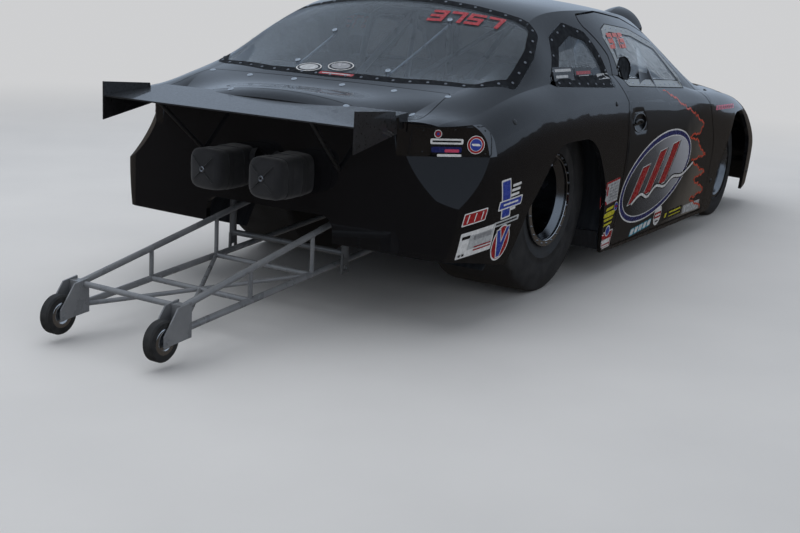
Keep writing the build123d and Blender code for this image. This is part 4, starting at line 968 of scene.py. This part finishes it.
# Marks and braces on the rear window
for count, (u, v, ink) in enumerate(((-1.38, 0.147, PALE_INK), (-1.351, -0.005, GREY_INK))):
    sticker(f"rear_window_oval_{count}", [(ellipse(u, v, 0.035, 0.065), WHITE_INK),
                                          (ellipse(u, v, 0.031, 0.06), BLACK_INK),
                                          (ellipse(u, v, 0.024, 0.048), ink)], rear_cast)
sticker("rear_window_strip", [(slant(-1.415, -0.025, 0.02, 0.18), RED_INK),
                              (slant(-1.415, -0.025, 0.007, 0.15), PALE_INK)],
        rear_cast)
block_number("rear_window_number", "3757", (-0.94, -0.2), (0.012, -0.09), (0.034, 0.0), rear_cast, RED_INK)
BRACES = [((-1.327, 0.247), (-1.074, 0.225)), ((-1.344, -0.246), (-0.92, -0.3))]
for count, (low, high) in enumerate(BRACES):
    line = [rear_cast(*(Vector(low).lerp(Vector(high), step / 12)))[0] for step in range(13)]
    rod(f"window_brace_{count}", [point - Vector((0, 0, 0.021)) for point in line], 0.0055, STEEL)
    buttons = [rear_cast(*low), rear_cast(*high)]
    heads(f"window_brace_buttons_{count}", buttons, 0.013, 0.006, POLISHED)
    for end, (point, normal) in enumerate(buttons):
        rod(f"window_brace_post_{count}_{end}", [point - normal * 0.006, point - Vector((0, 0, 0.024))],
            0.004, STEEL)


# Front lamps and grille as printed film
nose_cast = caster(skin_tree("front_clip"), Vector((6, 0, 0)), Vector((-1, 0, 0)), Vector((0, 1, 0)),
                   Vector((0, 0, 1)))
GRILLE = [(-0.34, 0.30), (-0.30, 0.235), (0.30, 0.235), (0.34, 0.30), (0.32, 0.36), (-0.32, 0.36)]
film("grille_film", dense(GRILLE), nose_cast, BLACK_INK)
ribbon("grille_edge", dense(GRILLE, 0.02), 0.008, nose_cast, GREY_INK, closed=True)
for count in range(5):
    ribbon(f"grille_bar_{count}", [(-0.29 + 0.02 * step, 0.255 + 0.021 * count) for step in range(30)],
           0.003, nose_cast, GREY_INK)
for name, side in SIDES.items():
    lamp = [(side * 0.39, 0.455), (side * 0.53, 0.475), (side * 0.63, 0.515), (side * 0.655, 0.56),
            (side * 0.58, 0.555), (side * 0.44, 0.525), (side * 0.38, 0.49)]
    film(f"headlamp_film_{name}", dense(lamp), nose_cast, PALE_INK)
    ribbon(f"headlamp_edge_{name}", dense(lamp, 0.02), 0.007, nose_cast, BLACK_INK, closed=True)
    for count, (u, v, size) in enumerate(((0.455, 0.492, 0.024), (0.53, 0.517, 0.024))):
        film(f"headlamp_ring_{name}_{count}", ellipse(side * u, v, size, size, 0, 32), nose_cast, BLACK_INK,
             lift=0.001)
        film(f"headlamp_bulb_{name}_{count}", ellipse(side * u, v, size * 0.7, size * 0.7, 0, 32),
             nose_cast, WHITE_INK, lift=0.0014)


# Tyres and wheel details
def tyre_profile(bead, radius, half, crown):
    """A tyre's closed section from bead to bead, as (radius, place along the axle)."""
    wall = bead + (radius - bead) * 0.45
    side = [(bead + 0.0005, half - 0.027), (bead + 0.009, half - 0.0215), (bead + 0.018, half - 0.0175),
            (bead + 0.03, half - 0.012), (wall - 0.035, half - 0.005), (wall - 0.0345, half - 0.0042),
            (wall - 0.031, half - 0.0042), (wall - 0.0305, half - 0.0046), (wall, half - 0.0015),
            (wall + (radius - wall) * 0.4, half - (half - crown) * 0.42),
            (radius - 0.028, crown + 0.0025), (radius - 0.013, crown - 0.001),
            (radius - 0.005, crown - 0.006), (radius - 0.001, crown - 0.015), (radius, crown - 0.026),
            (radius, crown * 0.5)]
    ring = [(r, y) for r, y in side] + [(radius, 0.0)] + [(r, -y) for r, y in reversed(side)]
    return ring + [ring[0]]


def bolt_ring(name, centre, radius, count, size, height, material, body, outward, sides=6, phase=0.0):
    """Hexagonal or round heads on a ring about the axle."""
    places = []
    for step in range(count):
        angle = 2 * math.pi * (step + phase) / count
        places.append((centre + Vector((math.cos(angle), 0, math.sin(angle))) * radius, outward))
    return heads(name, places, size, height, material, body, sides=sides)


REAR_PROFILE = tyre_profile(REAR_RIM_R, REAR_TYRE_R, REAR_TYRE_W / 2, 0.2)
FRONT_PROFILE = tyre_profile(FRONT_RIM_R, FRONT_TYRE_R, FRONT_TYRE_W / 2, 0.046)
LOCK_RING = [(0.192, 0.2075), (0.2185, 0.2075), (0.2195, 0.209), (0.2185, 0.2135), (0.194, 0.2135),
             (0.192, 0.212), (0.192, 0.2075)]
REAR_CAP = [(0.0, -0.052), (0.016, -0.052), (0.03, -0.056), (0.034, -0.062), (0.034, -0.083)]
FRONT_CAP = [(0.0, 0.058), (0.018, 0.057), (0.028, 0.052), (0.03, 0.046), (0.03, 0.034)]
SMALL_HUB = [(0.0095, 0.0212), (0.03, 0.0212), (0.032, 0.0222), (0.046, 0.0222), (0.048, 0.0212)]
# The wheelie bar's wheel from the rear axle
SMALL_WHEEL = (-1.992, 0.252, 0.103)
for name, side in SIDES.items():
    out = Vector((0, side, 0))
    rear_centre = Vector((REAR_X, side * REAR_WHEEL_Y, REAR_TYRE_R))
    front_centre = Vector((FRONT_X, side * FRONT_WHEEL_Y, FRONT_TYRE_R))
    rear_body, front_body = f"rear_wheel_{name}", f"front_wheel_{name}"
    slick = turned(f"rear_slick_{name}", REAR_PROFILE, rear_centre, RUBBER, rear_body, out, 128, 60)
    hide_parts(f"rear_tyre_{name}")
    runner = turned(f"front_runner_{name}", FRONT_PROFILE, front_centre, RUBBER, front_body, out, 128, 60)
    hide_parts(f"front_tyre_{name}")
    turned(f"lock_ring_{name}", LOCK_RING, rear_centre, POLISHED, rear_body, out, 96, 35)
    bolt_ring(f"lock_bolts_{name}", rear_centre + out * 0.2135, 0.207, 24, 0.0055, 0.004, STEEL, rear_body,
              out)
    turned(f"hub_cap_{name}", REAR_CAP, rear_centre, BLACK_RIM, rear_body, out, 48, 35)
    bolt_ring(f"wheel_nuts_{name}", rear_centre - out * 0.098, 0.078, 5, 0.0125, 0.024, STEEL, rear_body,
              out, 6, 0.5)
    turned(f"front_hub_cap_{name}", FRONT_CAP, front_centre, BLACK_RIM, front_body, out, 48, 35)
    bolt_ring(f"front_wheel_nuts_{name}", front_centre + out * 0.019, 0.062, 5, 0.0105, 0.02, STEEL,
              front_body, out, 6, 0.5)
    for body, centre, radius in ((rear_body, rear_centre + out * 0.198, 0.176),
                                 (front_body, front_centre + out * 0.03, 0.166)):
        foot = centre + Vector((0, 0, radius + 0.008))
        rod(f"valve_{body}", [foot, foot + out * 0.006 - Vector((0, 0, 0.008)),
                              foot + out * 0.01 - Vector((0, 0, 0.03))],
            0.004, STEEL, body, 8)
    # Hub faces on both sides of the wheelie bar's small wheels
    small = Vector((REAR_X + SMALL_WHEEL[0], side * SMALL_WHEEL[1], SMALL_WHEEL[2]))
    small_body = f"wheelie_wheel_{name}"
    for face, way in (("near", -1), ("far", 1)):
        turned(f"small_hub_{name}_{face}", SMALL_HUB, small, POLISHED, small_body, out * way, 48, 30)


# Cabin and soft goods, placed from the rear axle
def at(x, y, z):
    """A place with its x counted from the rear axle."""
    return Vector((REAR_X + x, y, z))


def strap(name, line, width, thick, material, across=Vector((0, 1, 0)), body="car_body", closed=False):
    """Flat webbing along a line, with its width along across."""
    line = [Vector(p) for p in line]
    count = len(line)
    points = []
    for i, here in enumerate(line):
        along = heading(line, i, closed)
        wide = (across - along * across.dot(along)).normalized()
        up = along.cross(wide)
        for a, b in ((-0.5, -0.35), (-0.46, 0.5), (0.46, 0.5), (0.5, -0.35)):
            points.append(here + wide * width * a + up * thick * b)
    faces = wall_faces(count, 4, closed)
    if not closed:
        faces += [(0, 1, 2, 3), tuple(4 * (count - 1) + k for k in range(4))]
    piece = place_mesh(name, points, faces, material, body)
    tidy(piece, 50)
    return piece


def plate(name, corners, radius, origin, depths):
    """A flat aluminium plate across the car, from an outline in y and z with round corners."""
    outline, _ = rounded(corners, radius)
    count = len(outline)
    points = [origin + Vector((depth, p.x, p.y)) for depth in depths for p in outline]
    faces = [tuple(range(count)), tuple(range(count, 2 * count))] + wall_faces(2, count)
    tidy(place_mesh(name, points, faces, ALUMINIUM), 30)


def loop_point(angle, half_y, half_z, power=4.5):
    """A point of a rounded square ring."""
    c, s = math.cos(angle), math.sin(angle)
    reach = (abs(c) ** power + abs(s) ** power) ** (-1 / power)
    return c * reach * half_y, s * reach * half_z


# Parachute packs: the ends in x, half width, centre, and where the straps pinch them along their length
PACK_X = (-2.088, -1.846)
PACK_HALF = 0.083
PACK_Y, PACK_Z = 0.15, 0.59
PACK_STRAPS = (0.34, 0.74)
PACK_AROUND, PACK_RINGS = 72, 30


def pack_sag(t):
    """How far a pack hangs down at a share of its length."""
    return 0.006 * math.sin(math.pi * t)


for name, side in SIDES.items():
    centre_y = side * PACK_Y
    points = []
    for ring in range(PACK_RINGS + 1):
        t = ring / PACK_RINGS
        swell = (1 - (1 - min(t * 5.5, 1)) ** 2.6) ** (1 / 2.6)
        x = PACK_X[0] + (PACK_X[1] - PACK_X[0]) * t
        cinch = sum(math.exp(-((t - place) / 0.035) ** 2) for place in PACK_STRAPS) * 0.0035
        for step in range(PACK_AROUND):
            y, z = loop_point(2 * math.pi * step / PACK_AROUND, PACK_HALF * swell, PACK_HALF * swell)
            fold = noise.noise(Vector((x * 14, centre_y * 9 + y * 22, z * 22))) * 0.0035
            scale = 1 + (fold - cinch) / PACK_HALF
            sag = pack_sag(t) + (0.004 * (1 - abs(y) / PACK_HALF) if z < 0 else 0)
            points.append(Vector((x, centre_y + y * scale, PACK_Z + z * scale - sag)))
    faces = wall_faces(PACK_RINGS + 1, PACK_AROUND)
    eyelet = Vector((PACK_X[0] + 0.0005, centre_y, PACK_Z - 0.002))
    points.append(eyelet)
    for step in range(PACK_AROUND):
        faces.append((step, (step + 1) % PACK_AROUND, len(points) - 1))
    pack = place_mesh(f"parachute_pack_{name}", points, faces, PACK_CLOTH)
    tidy(pack, 70)
    pack.modifiers.new("soft_edges", "SUBSURF").levels = 1
    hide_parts("parachute_packs")
    for count, t in enumerate(PACK_STRAPS):
        x = PACK_X[0] + (PACK_X[1] - PACK_X[0]) * t
        line = []
        for step in range(72):
            y, z = loop_point(2 * math.pi * step / 72, PACK_HALF + 0.0005, PACK_HALF + 0.0005)
            line.append(Vector((x, centre_y + y, PACK_Z + z - pack_sag(t))))
        strap(f"pack_strap_{name}_{count}", line, 0.028, 0.0026, BELT_WEB, Vector((1, 0, 0)), closed=True)
    # Seams across the rear end, with an eyelet where they meet
    for count, angle in enumerate((45, 135, 225, 315)):
        line = []
        for step in range(9):
            reach = 0.006 + 0.066 * step / 8
            y, z = reach * math.cos(math.radians(angle)), reach * math.sin(math.radians(angle))
            depth = 0.0028 + 0.06 * max(0, reach / PACK_HALF - 0.45) ** 3
            line.append(Vector((PACK_X[0] - 0.0028 + depth, centre_y + y, PACK_Z + z - 0.002)))
        rod(f"pack_seam_{name}_{count}", line, 0.0022, BELT_WEB)
    turned(f"pack_eyelet_{name}", [(0.004, 0.0), (0.0045, 0.0035), (0.010, 0.0042), (0.0125, 0.002),
                                   (0.0125, -0.001)], eyelet, STEEL, axis=Vector((-1, 0, 0)), segments=32)
    # Tether strap from the pack to the bracket on the tail panel
    tether = smooth_line([Vector((-1.86, side * 0.062, 0.665)), Vector((-1.90, side * 0.045, 0.63)),
                          Vector((-1.885, side * 0.03, 0.56)), Vector((-1.855, side * 0.02, 0.52))], 8)
    strap(f"pack_tether_{name}", tether, 0.024, 0.003, BELT_WEB, Vector((0, 1, 0)))
BRACKET = [(-0.058, 0.562), (0.058, 0.562), (0.058, 0.618), (-0.058, 0.618)]
plate("pack_bracket", BRACKET, 0.012, Vector((0, 0, 0)), (-1.868, -1.8525))
heads("pack_bracket_bolts", [(Vector((-1.868, y, z)), Vector((-1, 0, 0))) for y in (-0.042, 0.042)
                             for z in (0.575, 0.605)],
      0.006, 0.004, STEEL, sides=6)


# Seat pads: the mesh size, the cloth's pressure and steps, and the depth of a sewn channel
PAD_VOXEL = 0.006
PAD_PRESSURE = 4
PAD_STEPS = 20
CHANNEL_DEPTH = 0.0045


def pad(name, origin, along, outward, length, width, thick, material, channels, cap=0.008):
    """A seat pad: a slack box blown up like cloth, then sewn across into channels."""
    along, outward = along.normalized(), outward.normalized()
    across = along.cross(outward)
    grid = bpy.data.meshes.new(name)
    half_l, half_w = length / 2 - 0.01, width / 2 - 0.006
    ring, faces = [], []
    columns, rows = 16, 14
    for level in (0, 1):
        for i in range(columns + 1):
            for j in range(rows + 1):
                a, b = 2 * i / columns - 1, 2 * j / rows - 1
                trim = 1 - 0.03 * abs(a) ** 6 * abs(b) ** 6
                crown = thick * (0.62 + 0.2 * (1 - a ** 4) * (1 - b ** 4)) if level else 0.003
                ring.append(origin + along * half_l * a * trim + across * half_w * b * trim
                            + outward * crown)
    per = (columns + 1) * (rows + 1)
    for i in range(columns):
        for j in range(rows):
            low = i * (rows + 1) + j
            cell = (low, low + 1, low + rows + 2, low + rows + 1)
            faces.append(cell)
            faces.append(tuple(per + index for index in reversed(cell)))
    edge = [i * (rows + 1) for i in range(columns)] + [columns * (rows + 1) + j for j in range(rows)]
    edge += [i * (rows + 1) + rows for i in range(columns, 0, -1)] + [j for j in range(rows, 0, -1)]
    for a, b in zip(edge, edge[1:] + edge[:1]):
        faces.append((a, b, per + b, per + a))
    grid.from_pydata([tuple(p) for p in ring], [], faces)
    piece = bpy.data.objects.new(name, grid)
    scene.collection.objects.link(piece)
    tidy(piece, 80)
    remesh = piece.modifiers.new("remesh", "REMESH")
    remesh.mode = "VOXEL"
    remesh.voxel_size = PAD_VOXEL
    remesh.use_smooth_shade = True
    made = bpy.data.meshes.new_from_object(piece.evaluated_get(bpy.context.evaluated_depsgraph_get()))
    piece.modifiers.remove(remesh)
    piece.data = made
    start = [vertex.co.copy() for vertex in made.vertices]
    cloth = piece.modifiers.new("cloth", "CLOTH")
    cloth.settings.use_pressure = True
    cloth.settings.uniform_pressure_force = PAD_PRESSURE
    cloth.settings.effector_weights.gravity = 0
    cloth.settings.quality = 4
    cloth.collision_settings.use_collision = False
    for count in range(1, PAD_STEPS + 1):
        scene.frame_set(count)
    shaped = piece.evaluated_get(bpy.context.evaluated_depsgraph_get()).to_mesh()
    blown = [vertex.co.copy() for vertex in shaped.vertices]
    piece.modifiers.remove(cloth)
    scene.frame_set(1)
    for vertex, old, new in zip(made.vertices, start, blown):
        step = new - old
        if step.length > cap:
            step = step.normalized() * cap
        vertex.co = old + step
    for vertex in made.vertices:
        place = vertex.co - origin
        rise = place.dot(outward)
        if rise < 0.002:
            vertex.co += outward * (0.002 - rise)
            continue
        lengthways = place.dot(along) / length + 0.5
        groove = 0
        if 0.06 < lengthways < 0.94:
            groove = math.exp(-((lengthways * channels % 1 - 0.5) / 0.09) ** 2)
        vertex.co -= outward * min(CHANNEL_DEPTH * groove, rise * 0.4)
        pinch = noise.noise(vertex.co * 40) * 0.0007
        vertex.co += outward * pinch
    made.materials.clear()
    made.materials.append(material)
    for polygon in made.polygons:
        polygon.use_smooth = True
    piece.modifiers.new("soft_edges", "SUBSURF").levels = 1
    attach(piece, "car_body")
    return piece


back_low, back_high = at(0.7955, SEAT_Y, 0.281), at(0.6905, SEAT_Y, 0.774)
back_face = Vector((0.978, 0, 0.208))
pad("seat_back_pad", (back_low + back_high) / 2 + back_face * 0.0005, back_high - back_low, back_face, 0.47,
    0.39, 0.036, SEAT_CLOTH, 6)
base_near, base_far = at(0.875, SEAT_Y, 0.2376), at(1.215, SEAT_Y, 0.2974)
base_face = Vector((-0.173, 0, 0.985))
pad("seat_base_pad", (base_near + base_far) / 2 + base_face * 0.0005, base_far - base_near, base_face, 0.33,
    0.39, 0.034, SEAT_CLOTH, 4)
pad("seat_head_pad", at(0.699, SEAT_Y, 0.85) + Vector((0.001, 0, 0)), Vector((-0.16, 0, 0.987)),
    Vector((0.987, 0, 0.16)), 0.085, 0.24, 0.03, SEAT_CLOTH, 1)

# Harness: shoulder straps over the seat's back, lap straps and the strap between, with a round buckle
SHOULDER = [(0.562, 0.8405), (0.60, 0.872), (0.648, 0.9105), (0.68, 0.9105), (0.712, 0.902), (0.74, 0.86),
            (0.748, 0.80), (0.762, 0.70), (0.786, 0.58), (0.812, 0.45), (0.838, 0.355), (0.88, 0.303),
            (0.955, 0.3035), (0.995, 0.3105)]
for name, side in SIDES.items():
    line = []
    for count, (x, z) in enumerate(SHOULDER):
        share = count / (len(SHOULDER) - 1)
        line.append(at(x, SEAT_Y + side * (0.105 - 0.07 * max(0, share - 0.35) / 0.65), z))
    strap(f"shoulder_strap_{name}", smooth_line(line, 7), 0.05, 0.003, BELT_WEB)
    adjuster = line[8] + Vector((0.004, 0, 0.001))
    rod(f"strap_adjuster_{name}", [adjuster + Vector((0, y, 0)) for y in (-0.03, -0.027, 0.027, 0.03)],
        0.006, STEEL)
    rod(f"strap_adjuster_bar_{name}", [adjuster + Vector((-0.005, y, 0.022)) for y in (-0.03, 0.03)], 0.004,
        STEEL)
    lap = [at(0.865, SEAT_Y + side * 0.202, 0.255), at(0.885, SEAT_Y + side * 0.178, 0.296),
           at(0.93, SEAT_Y + side * 0.12, 0.302), at(0.98, SEAT_Y + side * 0.05, 0.3085),
           at(1.0, SEAT_Y + side * 0.02, 0.312)]
    strap(f"lap_strap_{name}", smooth_line(lap, 7), 0.046, 0.003, BELT_WEB, Vector((0.8, -side * 0.6, 0)))
strap("centre_strap", smooth_line([at(1.0, SEAT_Y, 0.312), at(1.06, SEAT_Y, 0.319), at(1.13, SEAT_Y, 0.327),
                                   at(1.19, SEAT_Y, 0.334), at(1.222, SEAT_Y, 0.322)], 6), 0.046, 0.003,
      BELT_WEB)
turned("harness_buckle", [(0.0, 0.017), (0.014, 0.017), (0.018, 0.0145), (0.03, 0.013), (0.034, 0.009),
                          (0.034, 0.0), (0.031, -0.002)], at(1.0, SEAT_Y, 0.3145), STEEL,
       axis=Vector((-0.173, 0, 0.985)), segments=40)
rod("buckle_lever", [at(1.0, SEAT_Y - 0.004, 0.3335), at(1.012, SEAT_Y, 0.3365),
                     at(1.03, SEAT_Y + 0.012, 0.3385)], 0.004,
    TEAR_INK)

# Gauges on the panel's face, pedals, shift lever
FACE_OUT = Vector((-0.953, 0, 0.303))
FACE_UP = Vector((0.303, 0, 0.953))
# Each gauge's place across the car, rise and radius
GAUGES = [(0.425, 0.004, 0.046), (0.545, -0.006, 0.03), (0.305, -0.006, 0.03), (0.225, -0.006, 0.03),
          (0.145, -0.006, 0.03)]
for count, (y, rise, radius) in enumerate(GAUGES):
    centre = at(1.5635, y, 0.746) + FACE_UP * rise
    turned(f"gauge_cup_{count}", [(radius, -0.001), (radius, 0.016), (radius * 0.96, 0.019),
                                  (radius * 0.9, 0.018), (radius * 0.88, 0.012), (0.0, 0.012)], centre,
           BLACK_RIM, axis=FACE_OUT, segments=48)
    sweep = FACE_OUT.cross(FACE_UP)
    for tick in range(11):
        angle = math.radians(225 - 27 * tick)
        ray = sweep * math.cos(angle) + FACE_UP * math.sin(angle)
        root = centre + FACE_OUT * 0.0125
        rod(f"gauge_tick_{count}_{tick}", [root + ray * radius * 0.68, root + ray * radius * 0.82], 0.0008,
            WHITE_INK, sides=5)
    angle = math.radians(205)
    ray = sweep * math.cos(angle) + FACE_UP * math.sin(angle)
    rod(f"gauge_needle_{count}", [centre + FACE_OUT * 0.0145 - ray * radius * 0.15,
                                  centre + FACE_OUT * 0.0145 + ray * radius * 0.7],
        0.001, TEAR_INK, sides=6)
for name, y, width in (("brake", 0.35, 0.045), ("throttle", 0.50, 0.03)):
    arm = smooth_line([at(1.984, y, 0.44), at(1.955, y, 0.40), at(1.93, y, 0.32), at(1.915, y, 0.275)], 6)
    rod(f"{name}_pedal_arm", arm, 0.008, STEEL)
    corners = [(-width, -0.032), (width, -0.032), (width, 0.032), (-width, 0.032)]
    plate(f"{name}_pedal_pad", corners, 0.01, arm[-1] + Vector((-0.008, 0, 0)), (-0.004, 0.003))
turned("shift_boot", [(0.062, 0.0), (0.058, 0.006), (0.045, 0.014), (0.043, 0.022), (0.034, 0.03),
                      (0.032, 0.038), (0.02, 0.05), (0.012, 0.056)], at(1.28, 0.02, 0.474), GRIP,
       axis=Vector((0, 0, 1)), segments=40, sharp=80)
rod("shift_lever", smooth_line([at(1.28, 0.02, 0.5), at(1.265, 0.035, 0.6), at(1.235, 0.06, 0.68)], 8),
    0.007, STEEL)
turned("shift_knob", [(0.0, 0.03), (0.009, 0.029), (0.018, 0.023), (0.0215, 0.012), (0.019, 0.0),
                      (0.012, -0.009), (0.008, -0.014)], at(1.233, 0.062, 0.69), BLACK_RIM,
       axis=Vector((-0.35, 0.28, 0.9)).normalized(), segments=36, sharp=80)


def coil(name, low, high, radius, wire, turns, material):
    """A coil spring about the line from low to high."""
    axis = (high - low).normalized()
    first = axis.orthogonal().normalized()
    second = axis.cross(first)
    total = turns * 16
    line = []
    for step in range(total + 1):
        angle = 2 * math.pi * step / 16
        line.append(low.lerp(high, step / total)
                    + (first * math.cos(angle) + second * math.sin(angle)) * radius)
    return rod(name, line, wire, material, sides=8)


for name, side in SIDES.items():
    coil(f"front_spring_{name}", at(2.685, side * 0.64, 0.5), at(2.685, side * 0.64, 0.622), 0.0275, 0.0042,
         8, SPRING_PAINT)
    foot, top = at(-0.06, side * 0.19, 0.48), at(-0.147, side * 0.19, 0.809)
    coil(f"rear_spring_{name}", foot.lerp(top, 0.2), foot.lerp(top, 0.85), 0.0352, 0.0048, 10, SPRING_PAINT)


# Stage: a pale floor that runs out into the backdrop, soft lamps and the sky's fill
BACKDROP = (0.62, 0.625, 0.635)
# What reflections see of the floor and of the sky
MIRRORED = (0.045, 0.04, 0.036)
MIRRORED_SKY = (0.34, 0.41, 0.51)


def stage_floor():
    """Pale matt floor that turns into the backdrop far out and looks dark in reflections."""
    material, tree, shader, place = blank("pale_floor")
    cloud = clouds(tree, place, 1.5, 5)
    tone = ramp(tree, cloud, [(0.3, (0.70, 0.705, 0.71)), (0.7, (0.74, 0.745, 0.75))])
    dress(tree, shader, tone, spread(tree, cloud, 0.6, 0.75))
    settle(shader, {"Specular IOR Level": 0.2})
    reach = node(tree, "VectorMath", {0: place}, operation="LENGTH").outputs["Value"]
    far = node(tree, "MapRange", {"Value": reach, "From Min": 3.2, "From Max": 9.5},
               interpolation_type="SMOOTHSTEP").outputs["Result"]
    glow = node(tree, "Emission", {"Color": (*BACKDROP, 1), "Strength": 1.0})
    mixed = node(tree, "MixShader", {0: far, 1: shader.outputs["BSDF"], 2: glow.outputs["Emission"]})
    shade = node(tree, "Emission", {"Color": (*MIRRORED, 1), "Strength": 1.0})
    mirrored = node(tree, "LightPath").outputs["Is Glossy Ray"]
    choice = node(tree, "MixShader", {0: mirrored, 1: mixed.outputs["Shader"],
                                      2: shade.outputs["Emission"]})
    tree.links.new(choice.outputs["Shader"], tree.nodes["Material Output"].inputs["Surface"])
    return material


FLOOR_HALF = 400
floor_mesh = bpy.data.meshes.new("studio_floor")
floor_mesh.from_pydata([(-FLOOR_HALF, -FLOOR_HALF, 0), (FLOOR_HALF, -FLOOR_HALF, 0),
                        (FLOOR_HALF, FLOOR_HALF, 0), (-FLOOR_HALF, FLOOR_HALF, 0)], [], [(0, 1, 2, 3)])
floor_mesh.materials.append(stage_floor())
studio_floor = bpy.data.objects.new("studio_floor", floor_mesh)
scene.collection.objects.link(studio_floor)
eye.data.clip_end = 1500

# Lamps: name, place, aim, width, height, power
LAMPS = [
    ("overhead_soft", (-0.3, 2.0, 6.0), (-0.2, 0.4, 0.4), 13.0, 9.0, 400),
    ("right_soft", (-3.4, -7.5, 3.6), (-0.2, -0.4, 0.4), 7.0, 3.0, 62),
    ("rear_soft", (-8.0, 2.2, 3.2), (-0.8, 0.2, 0.5), 5.0, 3.0, 62),
    ("front_soft", (7.5, -2.4, 3.2), (0.6, 0.0, 0.5), 5.0, 3.0, 70),
]
for name, place, aim, width, height, power in LAMPS:
    lamp = bpy.data.lights.new(name, "AREA")
    lamp.shape = "RECTANGLE"
    lamp.size = width
    lamp.size_y = height
    lamp.energy = power
    holder = bpy.data.objects.new(name, lamp)
    holder.location = place
    holder.rotation_mode = "QUATERNION"
    holder.rotation_quaternion = (Vector(aim) - Vector(place)).to_track_quat("-Z", "Y")
    holder.visible_glossy = False
    scene.collection.objects.link(holder)
world = bpy.data.worlds.new("studio_sky")
world.use_nodes = True
scene.world = world
sky = world.node_tree
path = node(sky, "LightPath").outputs
fill = sky.nodes["Background"]
settle(fill, {"Color": (0.46, 0.49, 0.54, 1), "Strength": 0.5})
seen = node(sky, "Background", {"Color": (*BACKDROP, 1), "Strength": 1.0})
mirrored = node(sky, "Background", {"Color": (*MIRRORED_SKY, 1), "Strength": 1.0})
direct = maths(sky, "MAXIMUM", path["Is Camera Ray"], path["Is Transmission Ray"])
choice = node(sky, "MixShader", {0: direct, 1: fill.outputs["Background"], 2: seen.outputs["Background"]})
last = node(sky, "MixShader", {0: path["Is Glossy Ray"], 1: choice.outputs["Shader"],
                               2: mirrored.outputs["Background"]})
sky.links.new(last.outputs["Shader"], sky.nodes["World Output"].inputs["Surface"])
